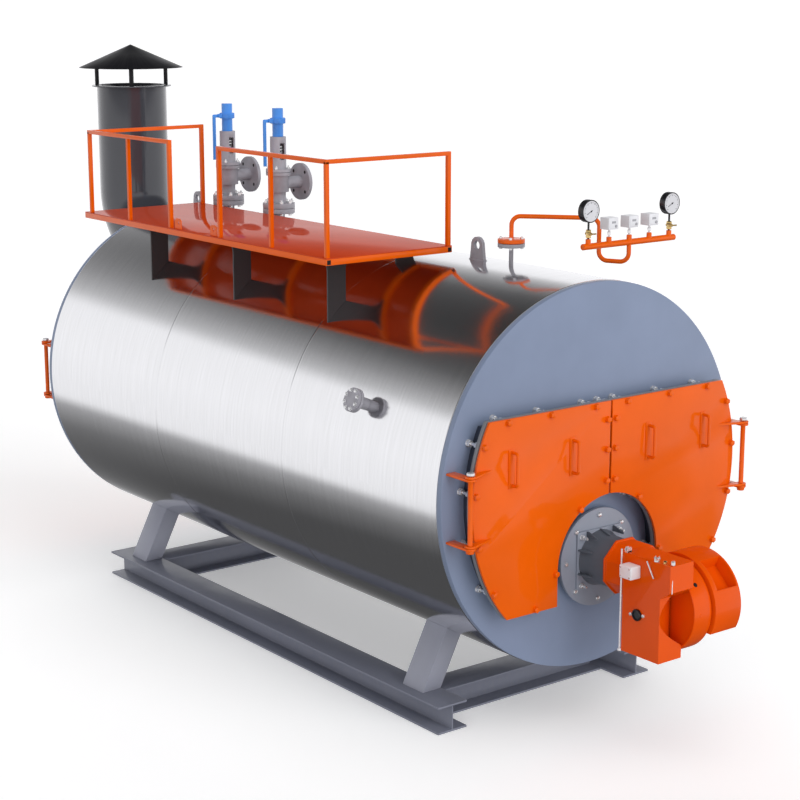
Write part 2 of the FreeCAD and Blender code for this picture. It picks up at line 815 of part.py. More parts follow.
def valve_lever(y):
    """A flat bar that hangs from the fork beside the bonnet."""
    width, thickness = lever_bar
    pivot = lever_pivot(y)
    low = pivot.z - lever_length
    side = y - thickness / 2
    eye = rod(V(pivot.x, side, pivot.z), V(pivot.x, side + thickness, pivot.z), width / 2)
    top = block(-lever_hang_x, pivot.x, side, side + thickness, pivot.z - width / 2, pivot.z + width / 2)
    hang = block(-lever_hang_x - width / 2, -lever_hang_x + width / 2, side, side + thickness, low, pivot.z)
    knee = rod(V(-lever_hang_x, side, pivot.z), V(-lever_hang_x, side + thickness, pivot.z), width / 2)
    bore = rod(V(pivot.x, side, pivot.z), V(pivot.x, side + thickness, pivot.z),
               lever_pin_radius + lever_pin_clearance)
    return join([eye, top, knee, hang]).cut(bore)


def make_valves():
    save("safety_valve_necks", Part.makeCompound([valve_neck(y) for y in valve_places]))
    for name, y in zip(("front", "rear"), valve_places):
        save("safety_valve_" + name, valve_body(y))
        save("safety_valve_" + name + "_cap", valve_cap(y))
        save("safety_valve_" + name + "_lever", valve_lever(y))


# ---------------------------------------------------------------- lugs, gauge line and side nozzle
def lifting_lug(y):
    """An upright plate along the shell, with a round top and a shackle hole."""
    side = lug_thickness / 2
    hole_z = shell_top + lug_hole_level
    top = rod(V(-side, y, hole_z), V(side, y, hole_z), lug_edge)
    foot_z = shell_top - lug_half_width
    points = [
        V(-side, y - lug_half_width, foot_z),
        V(-side, y + lug_half_width, foot_z),
        V(-side, y + lug_half_width, shell_top),
        V(-side, y + lug_edge, hole_z),
        V(-side, y - lug_edge, hole_z),
        V(-side, y - lug_half_width, shell_top),
    ]
    body = around_shell(join([top, plate(points, lug_thickness, X_AXIS)]))
    return body.cut(rod(V(-side, y, hole_z), V(side, y, hole_z), lug_hole_radius))


def make_lugs():
    for name, y in zip(("front", "rear"), lug_places):
        save("lifting_lug_" + name, lifting_lug(y))


def make_gauge_line():
    y = gauge_nozzle_y
    low = shell_top + gauge_flange_low
    upper = low + gauge_flange_thickness + gauge_flange_gap
    flange_top = upper + gauge_flange_thickness
    stub = around_shell(rod(V(0, y, axis_height), V(0, y, low), gauge_nozzle_radius))
    flange = rod(V(0, y, low), V(0, y, low + gauge_flange_thickness), gauge_flange_radius)
    raised_face = rod(V(0, y, low), V(0, y, upper), gauge_face_radius)
    save("gauge_nozzle", join([stub, flange, raised_face]))

    run_z = flange_top + gauge_run_rise
    corner = V(gauge_run[0], y + gauge_run[1], run_z)
    header_middle = corner + V(siphon_run[0], siphon_run[1], -header_drop)
    loop_z = header_middle.z - siphon_low
    route = [
        V(0, y, flange_top),
        V(0, y, run_z),
        corner,
        V(corner.x, corner.y, loop_z),
        V(header_middle.x, header_middle.y, loop_z),
        header_middle,
    ]
    side = X_AXIS * header_half
    header = rod(header_middle - side, header_middle + side, header_radius)
    pipe = bent_bar(route, gauge_pipe_radius, gauge_bend).cut(header)
    upper_flange = rod(V(0, y, upper), V(0, y, flange_top), gauge_flange_radius)
    save("gauge_pipe", join([pipe, upper_flange]))

    pieces = [header]
    for place in stub_places:
        foot = header_middle + X_AXIS * place
        pieces.append(rod(foot, foot + Z_AXIS * stub_height, stub_radius))
    save("gauge_header", join(pieces))

    gauges = []
    for place in (stub_places[0], stub_places[-1]):
        foot = header_middle + X_AXIS * place
        centre = foot + Z_AXIS * gauge_level
        cock = foot + Z_AXIS * (stub_height + gauge_cock_length)
        half_depth = Y_AXIS * (gauge_depth / 2)
        gauges.append(join([
            rod(foot + Z_AXIS * stub_height, centre, gauge_stem_radius),
            rod(cock, cock + Z_AXIS * gauge_cock_length, gauge_cock_radius),
            rod(centre - half_depth, centre + half_depth, gauge_radius),
        ]))
    save("pressure_gauges", Part.makeCompound(gauges))

    width, depth, height = controller_size
    controllers = []
    for place in stub_places[1:-1]:
        foot = header_middle + X_AXIS * place
        box_low = foot.z + controller_level
        case = block(foot.x - width / 2, foot.x + width / 2, foot.y - depth / 2, foot.y + depth / 2,
                     box_low, box_low + height)
        stem = rod(foot + Z_AXIS * stub_height, V(foot.x, foot.y, box_low), gauge_stem_radius)
        controllers.append(join([case, stem]))
    save("pressure_controllers", Part.makeCompound(controllers))


def make_side_nozzle():
    """A stub out of the cladding's left side, closed by a bolted cover."""
    angle = math.radians(side_nozzle_angle)
    outward = V(-math.cos(angle), 0, math.sin(angle))
    centre = V(0, side_nozzle_y, axis_height)
    flange_low = centre + outward * (shell_radius + side_nozzle_length)
    flange_high = flange_low + outward * side_flange_thickness
    cover_low = flange_high + outward * side_flange_gap
    cover_high = cover_low + outward * side_flange_thickness
    stub = around_shell(rod(centre, flange_low, side_nozzle_radius))
    flange = rod(flange_low, flange_high, side_flange_radius)
    raised_face = rod(flange_low, cover_low, side_face_radius)
    save("side_nozzle", join([stub, flange, raised_face]))
    save("side_nozzle_cover", rod(cover_low, cover_high, side_flange_radius))


os.makedirs("parts", exist_ok=True)
make_base()
make_shell()
make_end("front", True, lambda shape: shape)
make_end("rear", False, to_rear)
make_burner()
make_deck()
make_railings()
make_flue()
make_valves()
make_lugs()
make_gauge_line()
make_side_nozzle()
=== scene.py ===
# %% [markdown]
# # A steam boiler, finished piece by piece
# The steel frame of the boiler arrives ready made, with every plate and pipe at its real size.
# This lesson gives it its looks: rounded edges, bolts, nuts, springs, seals and paint.
# All sizes are metres. X runs to the right seen from the burner, Y from the burner to the flue, Z up.

# %% Load the frame
from math import atan2, cos, degrees, hypot, pi, radians, sin, sqrt, tan

import bmesh
import bpy
from mathutils import Matrix, Vector


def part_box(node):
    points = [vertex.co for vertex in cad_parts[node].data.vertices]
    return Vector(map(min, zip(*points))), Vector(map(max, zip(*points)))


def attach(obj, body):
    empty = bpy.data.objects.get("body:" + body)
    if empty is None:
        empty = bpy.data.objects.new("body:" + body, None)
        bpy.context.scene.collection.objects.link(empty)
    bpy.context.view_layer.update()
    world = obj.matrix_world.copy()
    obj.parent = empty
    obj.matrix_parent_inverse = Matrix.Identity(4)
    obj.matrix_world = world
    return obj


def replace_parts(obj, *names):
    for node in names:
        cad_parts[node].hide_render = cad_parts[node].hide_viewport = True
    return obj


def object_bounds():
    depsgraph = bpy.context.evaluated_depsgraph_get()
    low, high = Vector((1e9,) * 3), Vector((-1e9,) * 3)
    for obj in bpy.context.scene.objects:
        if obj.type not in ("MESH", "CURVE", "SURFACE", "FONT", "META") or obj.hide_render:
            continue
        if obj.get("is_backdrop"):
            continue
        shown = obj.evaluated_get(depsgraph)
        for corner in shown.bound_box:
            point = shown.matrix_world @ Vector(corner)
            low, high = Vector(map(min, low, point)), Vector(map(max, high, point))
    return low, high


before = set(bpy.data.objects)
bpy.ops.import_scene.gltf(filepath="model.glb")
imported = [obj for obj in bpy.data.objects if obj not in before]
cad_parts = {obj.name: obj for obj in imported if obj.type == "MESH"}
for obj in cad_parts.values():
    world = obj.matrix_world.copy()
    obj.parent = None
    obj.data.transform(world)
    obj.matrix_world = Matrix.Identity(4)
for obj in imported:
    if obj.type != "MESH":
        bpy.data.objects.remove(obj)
cad_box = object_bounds()
X, Y, Z = Vector((1, 0, 0)), Vector((0, 1, 0)), Vector((0, 0, 1))


# %% [markdown]
# ## Reading places from the frame
# Every new piece sits on a plate or pipe of the frame, so its place is worked out from that node's
# box. A bolt that is placed from its flange stays on it when the flange changes.

# %% Places from the frame's boxes
def low(node):
    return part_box(node)[0]


def high(node):
    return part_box(node)[1]


def middle(node):
    return (low(node) + high(node)) / 2


shell = middle("front_plate")
shell_radius = high("cladding_middle").x
shell_top = shell.z + shell_radius
front_face = low("front_plate").y
rear_face = high("rear_plate").y
FLANGE_BACK, FLANGE_FACE, DOOR_FACE = 0.082, 0.106, 0.132  # out from an end plate
door_face = front_face - DOOR_FACE
burner_z = middle("burner_head").z
print(f"shell radius {shell_radius:.3f}, axis {shell.z:.3f}, ends {front_face:.3f} and {rear_face:.3f}")


# %% [markdown]
# ## Shader maths as plain sums
# A node tree is easier to read when its maths looks like maths. A Value wraps one socket, and adding
# or multiplying two of them adds the Math node. Colours never go through it: they go through Mix.

# %% Values and the material maker
class Value:
    """A number that changes over a surface: one output socket of a node tree."""

    def __init__(self, maker, socket):
        self.maker = maker
        self.socket = socket

    def maths(self, operation, *others):
        inputs = {number: value for number, value in enumerate((self,) + others)}
        return self.maker.node("ShaderNodeMath", {"operation": operation}, inputs)

    def __add__(self, other):
        return self.maths("ADD", other)

    def __sub__(self, other):
        return self.maths("SUBTRACT", other)

    def __rsub__(self, other):
        return self.maker.node("ShaderNodeMath", {"operation": "SUBTRACT"}, {0: other, 1: self})

    def __mul__(self, other):
        return self.maths("MULTIPLY", other)

    __radd__ = __add__
    __rmul__ = __mul__


class Finish:
    """A material, and the one way its nodes are made."""

    def __init__(self, name):
        self.material = bpy.data.materials.new(name)
        self.material.use_nodes = True
        self.tree = self.material.node_tree
        self.shader = self.tree.nodes["Principled BSDF"]

    def node(self, kind, settings=None, inputs=None, output=0):
        made = self.tree.nodes.new(kind)
        for key, value in (settings or {}).items():
            setattr(made, key, value)
        for key, value in (inputs or {}).items():
            self.feed(made.inputs[key], value)
        return Value(self, made.outputs[output])

    def feed(self, socket, value):
        if isinstance(value, Value):
            self.tree.links.new(value.socket, socket)
        else:
            socket.default_value = value

    def place(self):
        return self.node("ShaderNodeTexCoord", output="Object")

    def noise(self, vector, scale, detail=3.0, roughness=0.5):
        inputs = {"Vector": vector, "Scale": scale, "Detail": detail, "Roughness": roughness}
        return self.node("ShaderNodeTexNoise", {}, inputs)

    def span(self, value, low_in, high_in, low_out=0.0, high_out=1.0):
        """A value taken from one range to another, and held at the ends."""
        inputs = {"Value": value, "From Min": low_in, "From Max": high_in,
                  "To Min": low_out, "To Max": high_out}
        return self.node("ShaderNodeMapRange", {"clamp": True}, inputs)

    def mix(self, share, first, second):
        """A colour between two colours."""
        made = self.tree.nodes.new("ShaderNodeMix")
        made.data_type = "RGBA"
        for number, value in ((0, share), (6, first), (7, second)):
            self.feed(made.inputs[number], value)
        return Value(self, made.outputs[2])

    def bump(self, height, distance, strength=1.0):
        inputs = {"Height": height, "Distance": distance, "Strength": strength}
        return self.node("ShaderNodeBump", {}, inputs)

    def set(self, **values):
        for key, value in values.items():
            self.feed(self.shader.inputs[key.replace("_", " ")], value)


def shade(colour, factor):
    """A colour made lighter or darker, with its alpha."""
    return tuple(min(1.0, part * factor) for part in colour[:3]) + (1.0,)


# %% [markdown]
# ## Paint
# Sprayed paint is never one flat colour. It pools and thins over a hand's width, its gloss drifts,
# dust settles low down, and the film has the fine ripple that painters call orange peel. The four
# are noises of four sizes, and one function makes every paint on the boiler.

# %% The paint function
def paint(name, colour, roughness=0.3, coat=0.5, ripple=0.25, cloud=0.06, dust=0.10, gleam=0.3):
    """Sprayed paint: cloudy colour, drifting gloss, orange peel, and dust near the floor."""
    finish = Finish(name)
    place = finish.place()
    clouds = finish.noise(place, 2.3, 4.0)
    colour_mix = finish.mix(finish.span(clouds, 0.3, 0.7), shade(colour, 1 - cloud), shade(colour, 1 + cloud))
    up = finish.node("ShaderNodeSeparateXYZ", {}, {"Vector": place}, output="Z")
    speckle = finish.noise(place, 31.0, 5.0)
    dust_share = finish.span(up, 0.0, 0.55, dust, 0.0) * finish.span(speckle, 0.35, 0.65)
    finish.set(Base_Color=finish.mix(dust_share, colour_mix, (0.30, 0.29, 0.28, 1.0)))
    drift = finish.noise(place, 6.0, 3.0)
    finish.set(Roughness=finish.span(drift, 0.3, 0.7, roughness - 0.05, roughness + 0.06))
    peel = finish.noise(place, 190.0, 2.0)
    finish.set(Normal=finish.bump(peel, 0.0004, ripple))
    finish.shader.inputs["Coat Weight"].default_value = coat
    finish.shader.inputs["Coat Roughness"].default_value = 0.06
    finish.shader.inputs["Specular IOR Level"].default_value = gleam
    return finish.material


ORANGE = paint("orange_paint", (0.85, 0.120, 0.0015), 0.34, 0.45, gleam=0.05)
# The burner's orange is the doors' orange made deeper and redder: partly its own paint, partly painted shade
# of its shaded sides.
BURNER_ORANGE_DEEPENED_AS_SHADE = paint("burner_paint_with_painted_shade", (0.81, 0.090, 0.001), 0.34, 0.35, gleam=0.05)
DECK_RED = paint("deck_paint", (0.60, 0.060, 0.012), 0.30, 0.40, ripple=0.10, gleam=0.0)
FLANGE_GREY = paint("flange_paint", (0.22, 0.225, 0.24), 0.40, 0.1)
# The beams' slate is the saddles' grey made darker: painted shade of the boiler that stands over the beams.
SLATE_DARKENED_AS_SHADE = paint("base_paint", (0.185, 0.196, 0.250), 0.40, 0.1)
LEG_GREY = paint("saddle_paint", (0.34, 0.35, 0.42), 0.40, 0.1)
PLATE_BLUE = paint("plate_paint", (0.225, 0.275, 0.395), 0.36, 0.1)
# The smoke boxes' blue-grey is deepened nearly to black: partly its own dark paint, partly painted shade of
# the gap behind the doors.
NAVY_DEEPENED_AS_SHADE = paint("smoke_box_paint", (0.035, 0.043, 0.065), 0.40, 0.3)
MOUNT_GREY = paint("burner_mount_paint", (0.30, 0.33, 0.40), 0.38, 0.3)
THROAT_GREY = paint("burner_throat_paint", (0.115, 0.125, 0.150), 0.42, 0.15)
# The deck supports' near-black is painted shade: they stand in the shade under the deck.
SUPPORT_PAINTED_SHADE = paint("support_paint_as_painted_shade", (0.050, 0.044, 0.046), 0.40, 0.1)
FLUE_GREY = paint("flue_paint", (0.048, 0.050, 0.060), 0.20, 0.9, ripple=0.25)
CAP_BLACK = paint("cap_paint", (0.010, 0.010, 0.012), 0.40, 0.0)
BLUE = paint("valve_blue_paint", (0.055, 0.275, 0.80), 0.30, 0.5)
print("paints mixed:", len(bpy.data.materials))


# %% [markdown]
# ## Cast iron, plated steel, brass and plastic
# The valves are cast, so their grey paint lies over a sandy skin. The bolts are zinc plated: bright,
# with a slight haze. Brass and white plastic are on the gauge line and the burner.

# %% The other small finishes
def metal(name, colour, roughness, grain=60.0, haze=0.08, bare=1.0):
    """Bare or plated metal, with a haze that drifts over it."""
    finish = Finish(name)
    place = finish.place()
    haze_noise = finish.noise(place, grain, 4.0)
    tone = finish.span(haze_noise, 0.3, 0.7)
    finish.set(Base_Color=finish.mix(tone, shade(colour, 0.82), shade(colour, 1.08)))
    finish.set(Roughness=finish.span(haze_noise, 0.3, 0.7, roughness - haze, roughness + haze))
    finish.shader.inputs["Metallic"].default_value = bare
    return finish.material


def plastic(name, colour, roughness, grain=420.0, bump=0.00015):
    """Moulded plastic with a fine matt grain."""
    finish = Finish(name)
    place = finish.place()
    clouds = finish.noise(place, 9.0, 3.0)
    finish.set(Base_Color=finish.mix(finish.span(clouds, 0.3, 0.7), shade(colour, 0.94), shade(colour, 1.03)))
    finish.set(Roughness=finish.span(clouds, 0.3, 0.7, roughness - 0.04, roughness + 0.05))
    finish.set(Normal=finish.bump(finish.noise(place, grain, 2.0), bump, 0.5))
    return finish.material


def cast(name, colour):
    """Grey paint over sand-cast iron."""
    finish = Finish(name)
    place = finish.place()
    clouds = finish.noise(place, 14.0, 4.0)
    sand = finish.noise(place, 230.0, 5.0, 0.65)
    finish.set(Base_Color=finish.mix(finish.span(clouds, 0.3, 0.7), shade(colour, 0.84), shade(colour, 1.14)))
    finish.set(Roughness=finish.span(clouds, 0.3, 0.7, 0.40, 0.54))
    finish.set(Normal=finish.bump(sand, 0.0006, 0.45))
    finish.shader.inputs["Coat Weight"].default_value = 0.15
    finish.shader.inputs["Coat Roughness"].default_value = 0.2
    return finish.material


CAST_GREY = cast("valve_grey_paint", (0.37, 0.36, 0.40))
ZINC = metal("zinc_plate", (0.90, 0.90, 0.91), 0.19, bare=0.65)
SPRING_STEEL = metal("spring_steel", (0.86, 0.86, 0.86), 0.30)
BRASS = metal("brass", (0.80, 0.58, 0.24), 0.24, 90.0)
WHITE = plastic("white_case", (0.82, 0.82, 0.85), 0.42)
BLACK = plastic("black_enamel", (0.012, 0.012, 0.014), 0.20)
DIAL = plastic("dial_white", (0.70, 0.70, 0.73), 0.35)
PRINT = plastic("grey_print", (0.42, 0.42, 0.45), 0.5)
SEAL = plastic("door_seal", (0.62, 0.57, 0.56), 0.72, 140.0, 0.0012)
# This near-black is painted shade: it stands in for the dark inside of holes, tube bores, a groove and
# tappings.
SHADE_BLACK = plastic("painted_shade_black", (0.010, 0.010, 0.011), 0.75)


# %% [markdown]
# ## Brushed stainless sheet
# The cladding is rolled from brushed sheet, and the brush ran round the shell. So its fine lines are
# close together along Y and very long round the axis. The noise therefore reads two coordinates, the
# distance along the shell and the angle round it, and the angle is scaled down until the lines run
# most of the way round. A second, slow noise gives the sheet the slight waves that rolling leaves.

# %% The cladding's steel
def brushed_steel():
    finish = Finish("cladding_steel")
    place = finish.place()
    split = finish.tree.nodes.new("ShaderNodeSeparateXYZ")
    finish.feed(split.inputs[0], place)
    across, along, up = (Value(finish, split.outputs[name]) for name in ("X", "Y", "Z"))
    angle = (up - shell.z).maths("ARCTAN2", across)

    def lines(per_metre, round_scale):
        spot = finish.node("ShaderNodeCombineXYZ", {}, {"X": along * per_metre, "Y": angle * round_scale})
        return finish.noise(spot, 1.0, 3.0, 0.6)

    fine = lines(420.0, 5.0)
    broad = lines(55.0, 1.5)
    clouds = finish.noise(place, 1.7, 3.0)
    tone = finish.span(fine * 0.6 + broad * 0.4, 0.35, 0.65)
    finish.set(Base_Color=finish.mix(tone, (0.79, 0.79, 0.80, 1.0), (0.87, 0.87, 0.885, 1.0)))
    finish.set(Roughness=finish.span(clouds * 0.5 + fine * 0.5, 0.35, 0.65, 0.10, 0.15))
    waves = finish.bump(finish.noise(place, 1.1, 1.0), 0.012, 0.10)
    scratch = finish.node("ShaderNodeBump", {}, {"Height": fine, "Distance": 0.0005, "Strength": 0.08,
                                                 "Normal": waves})
    finish.set(Normal=scratch)
    finish.shader.inputs["Metallic"].default_value = 1.0
    return finish.material


STEEL = brushed_steel()


# %% [markdown]
# ## Helpers that shape a mesh
# Each helper starts from a bmesh operator: a profile that is spun, a face that is pulled, or a copy
# of a frame node whose sharp edges are bevelled. `finished` closes every piece in the same way: it
# merges doubles, turns the faces outwards, smooths what is round and leaves real edges sharp.

# %% Finishing a mesh as a piece
SHARP = radians(32)


def finished(name, bm, material, body="root", turn_out=True, sharp=SHARP):
    """Makes the bmesh a piece of the object, on a body of the frame."""
    bmesh.ops.remove_doubles(bm, verts=bm.verts, dist=0.00002)
    if turn_out:
        bmesh.ops.recalc_face_normals(bm, faces=bm.faces)
    for face in bm.faces:
        face.smooth = True
    for edge in bm.edges:
        edge.smooth = len(edge.link_faces) == 2 and edge.calc_face_angle(0.0) < sharp
    mesh = bpy.data.meshes.new(name)
    bm.to_mesh(mesh)
    bm.free()
    mesh.materials.append(material)
    piece = bpy.data.objects.new(name, mesh)
    bpy.context.scene.collection.objects.link(piece)
    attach(piece, body)
    return piece


def bevel_sharp(bm, width, segments=2, angle=SHARP):
    edges = [edge for edge in bm.edges if len(edge.link_faces) == 2 and edge.calc_face_angle(0.0) > angle]
    bmesh.ops.bevel(bm, geom=edges, offset=width, offset_type="OFFSET", segments=segments,
                    profile=0.5, affect="EDGES", material=-1, clamp_overlap=True)


def add(bm, other, matrix=None):
    """Copies one bmesh into another, moved by a matrix, and leaves the first free for more copies."""
    mesh = bpy.data.meshes.new("copy")
    other.to_mesh(mesh)
    if matrix is not None:
        mesh.transform(matrix)
    bm.from_mesh(mesh)
    bpy.data.meshes.remove(mesh)


def facing(place, direction):
    """A matrix that stands a shape made along Z at a place, pointing along a direction."""
    turn = Z.rotation_difference(Vector(direction)).to_matrix().to_4x4()
    return Matrix.Translation(place) @ turn


# %% Spun, pulled and softened shapes
def spun(profile, segments=64):
    """A profile of (radius, height) corners spun about Z. It closes on the axis or on itself."""
    bm = bmesh.new()
    verts = [bm.verts.new((radius, 0, height)) for radius, height in profile]
    ends = [] if profile[0][0] == 0 and profile[-1][0] == 0 else [(verts[-1], verts[0])]
    edges = [bm.edges.new(pair) for pair in list(zip(verts, verts[1:])) + ends]
    bmesh.ops.spin(bm, geom=verts + edges, cent=(0, 0, 0), axis=(0, 0, 1), angle=2 * pi,
                   steps=segments, use_merge=True, use_duplicate=False)
    bmesh.ops.remove_doubles(bm, verts=bm.verts, dist=0.000001)
    bmesh.ops.recalc_face_normals(bm, faces=bm.faces)
    return bm


def disc_profile(radius, bottom, top, bore=0.0):
    return [(bore, bottom), (radius, bottom), (radius, top), (bore, top)]


def box_shape(sizes, bevel=0.0, segments=2):
    """A box centred on the origin, with rounded edges."""
    bm = bmesh.new()
    bmesh.ops.create_cube(bm, size=1.0)
    bmesh.ops.scale(bm, verts=bm.verts, vec=sizes)
    if bevel:
        bevel_sharp(bm, bevel, segments)
    return bm


def sheet(outline, holes, thickness, hole_sides=20):
    """A flat plate in XY, from z 0 up, with round holes of (x, y, radius) cut through it."""
    bm = bmesh.new()
    corners = [bm.verts.new((x, y, 0)) for x, y in outline]
    edges = [bm.edges.new(pair) for pair in zip(corners, corners[1:] + corners[:1])]
    for x, y, radius in holes:
        ring = bmesh.ops.create_circle(bm, radius=radius, segments=hole_sides, cap_ends=False,
                                       matrix=Matrix.Translation((x, y, 0)))
        edges += list({edge for vert in ring["verts"] for edge in vert.link_edges})
    bmesh.ops.triangle_fill(bm, edges=edges, use_beauty=True)
    pulled = bmesh.ops.extrude_face_region(bm, geom=bm.faces[:])
    verts = [item for item in pulled["geom"] if isinstance(item, bmesh.types.BMVert)]
    bmesh.ops.translate(bm, verts=verts, vec=(0, 0, thickness))
    bmesh.ops.recalc_face_normals(bm, faces=bm.faces)
    return bm


def node_copy(node):
    """A frame node's mesh with its doubles merged and its flat faces made whole."""
    bm = bmesh.new()
    bm.from_mesh(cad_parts[node].data)
    bmesh.ops.remove_doubles(bm, verts=bm.verts, dist=0.00001)
    bmesh.ops.dissolve_limit(bm, angle_limit=radians(0.4), verts=bm.verts, edges=bm.edges)
    return bm


def softened(node, material, width, body="root", segments=2, angle=SHARP):
    """A frame node again, with its machined edges rounded as paint and grinding leave them."""
    bm = node_copy(node)
    bevel_sharp(bm, width, segments, angle)
    piece = finished(node + "_finished", bm, material, body, turn_out=False)
    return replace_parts(piece, node)


def second_finish(piece, material, belongs):
    """Gives another finish to the faces whose centre passes a test."""
    piece.data.materials.append(material)
    for face in piece.data.polygons:
        face.material_index = 1 if belongs(face.center) else 0


def bar_mesh(points, radius, bend=0.0, sides=16):
    """A bmesh of a round bar through points, with its corners turned in arcs."""
    route = [Vector(point) for point in points]
    line = [route[0]]
    for before, corner, after in zip(route, route[1:], route[2:]):
        way_in, way_out = (corner - before).normalized(), (after - corner).normalized()
        turn = way_in.angle(way_out)
        reach = bend * tan(turn / 2)
        hub = corner + (way_out - way_in).normalized() * hypot(reach, bend)
        start = corner - way_in * reach
        axis = way_in.cross(way_out)
        steps = max(2, round(degrees(turn) / 10))
        line += [hub + Matrix.Rotation(turn * k / steps, 3, axis) @ (start - hub) for k in range(steps + 1)]
    line.append(route[-1])
    curve = bpy.data.curves.new("bar", "CURVE")
    curve.dimensions = "3D"
    spline = curve.splines.new("POLY")
    spline.points.add(len(line) - 1)
    for point, spot in zip(spline.points, line):
        point.co = (*spot, 1.0)
    curve.bevel_depth = radius
    curve.bevel_resolution = sides // 4
    curve.use_fill_caps = True
    holder = bpy.data.objects.new("bar", curve)
    bm = bmesh.new()
    bm.from_mesh(bpy.data.meshes.new_from_object(holder))
    bpy.data.objects.remove(holder)
    bpy.data.curves.remove(curve)
    bmesh.ops.remove_doubles(bm, verts=bm.verts, dist=0.00001)
    return bm


# %% [markdown]
# ## Bolts
# Most are of three kinds: hexagon heads, nuts on a stud, and round socket screws. Each is spun or
# pulled once as a small mesh, and a piece is one mesh with a copy at each place.

# %% Bolt heads, nuts and screws
def hex_head(across, height):
    """A hexagon head with its corners turned off, on a washer."""
    bm = bmesh.new()
    radius = across / sqrt(3)
    bmesh.ops.create_cone(bm, cap_ends=True, segments=6, radius1=radius, radius2=radius, depth=height,
                          matrix=Matrix.Translation((0, 0, height / 2 + 0.15 * height)))
    top = [vert for vert in bm.verts if vert.co.z > height / 2]
    edges = [edge for edge in bm.edges if edge.verts[0] in top and edge.verts[1] in top]
    bmesh.ops.bevel(bm, geom=edges, offset=height * 0.14, offset_type="OFFSET", segments=2,
                    profile=0.5, affect="EDGES", material=-1)
    add(bm, spun(disc_profile(across * 0.62, 0, height * 0.18), 20))
    return bm


def nut_on_stud(across, height, stud):
    """A nut on a washer, with the round end of its stud standing out."""
    bm = hex_head(across, height)
    radius = across * 0.30
    tip = [(0, 0), (radius, 0), (radius, height + stud * 0.8), (radius * 0.8, height + stud),
           (0, height + stud)]
    add(bm, spun(tip, 14))
    return bm


def socket_screw(radius, height):
    """A round head with a rounded rim and a round socket."""
    key = radius * 0.5
    rim = radius * 0.16
    profile = [(0, 0), (radius, 0), (radius, height - rim), (radius - rim * 0.3, height - rim * 0.3),
               (radius - rim, height), (key, height), (key, height * 0.55), (0, height * 0.55)]
    return spun(profile, 24)


def copies(name, shape, stands, material, body="root", turn_out=True):
    """One piece: the same shape under each of the matrices."""
    bm = bmesh.new()
    for stand in stands:
        add(bm, shape, stand)
    shape.free()
    return finished(name, bm, material, body, turn_out)


def bolts(name, shape, places, direction, material, body="root"):
    """The same bolt at many places, all pointing one way."""
    stands = [facing(place, direction) for place in places]
    return copies(name, shape, stands, material, body, turn_out=False)


def ring_places(centre, radius, count, axis, turn=0.0):
    """Places evenly round a circle whose normal is the axis."""
    stand = facing(centre, axis)
    angles = [turn + 2 * pi * k / count for k in range(count)]
    return [stand @ Vector((radius * cos(angle), radius * sin(angle), 0)) for angle in angles]


# %% [markdown]
# ## The floor, the light and the camera
# The boiler is lit as in a studio: a floor that is nearly white, a broad soft light from the front
# left, and a dark ceiling. The ceiling matters, because the stainless shell mirrors it: the top of
# the shell turns nearly black and its side, which mirrors the horizon, turns nearly white. So the
# world behind the floor is a ramp on height, and the floor itself stays out of mirror reflections.

# %% Camera
camera_data = bpy.data.cameras.new("camera")
camera_data.lens = 83.48
camera_data.sensor_width = 36.0
camera_data.clip_end = 2000.0
camera = bpy.data.objects.new("camera", camera_data)
camera.location = (-6.987, -7.933, 4.128)
camera.rotation_euler = (radians(77.421), 0.0, radians(-37.631))
bpy.context.scene.collection.objects.link(camera)
bpy.context.scene.camera = camera
bpy.context.scene.view_settings.view_transform = "Standard"

# %% World: bright round the horizon, dark overhead
world = bpy.data.worlds.new("studio")
bpy.context.scene.world = world
world.use_nodes = True
sky = world.node_tree
sky_place = sky.nodes.new("ShaderNodeTexCoord")
sky_height = sky.nodes.new("ShaderNodeSeparateXYZ")
sky_ramp = sky.nodes.new("ShaderNodeValToRGB")
sky_scale = sky.nodes.new("ShaderNodeMapRange")
sky_scale.inputs["From Min"].default_value = -1.0
sky.links.new(sky_place.outputs["Generated"], sky_height.inputs[0])
sky.links.new(sky_height.outputs["Z"], sky_scale.inputs["Value"])
sky.links.new(sky_scale.outputs[0], sky_ramp.inputs[0])
sky.links.new(sky_ramp.outputs[0], sky.nodes["Background"].inputs[0])
sky_stops = [(-90, 0.07), (-34, 0.075), (-27, 0.17), (-21, 0.38), (-18, 0.95), (0, 1.02), (17, 1.0),
             (21, 0.55), (27, 0.28), (33, 0.10), (42, 0.035), (90, 0.03)]
while len(sky_ramp.color_ramp.elements) < len(sky_stops):
    sky_ramp.color_ramp.elements.new(0.5)
for element, (elevation, level) in zip(sky_ramp.color_ramp.elements, sky_stops):
    element.position = (sin(radians(elevation)) + 1) / 2
    element.color = (level, level, level * 1.02, 1.0)
print("sky stops:", len(sky_stops))


# %% Lights and floor
def soft_sun(name, azimuth, elevation, width, strength):
    """Even light from one direction. Azimuth 0 comes from the burner end and 90 from the right."""
    data = bpy.data.lights.new(name, "SUN")
    data.angle = radians(width)
    data.energy = strength
    lamp = bpy.data.objects.new(name, data)
    a, e = radians(azimuth), radians(elevation)
    way = Vector((sin(a) * cos(e), -cos(a) * cos(e), sin(e)))
    lamp.rotation_euler = way.to_track_quat("Z", "Y").to_euler()
    lamp.visible_glossy = False
    bpy.context.scene.collection.objects.link(lamp)


soft_sun("front_light", 5, 28, 40, 0.95)
soft_sun("top_light", -30, 72, 70, 1.1)
soft_sun("rear_light", 160, 30, 60, 0.8)
soft_sun("floor_bounce", -20, -55, 120, 0.7)

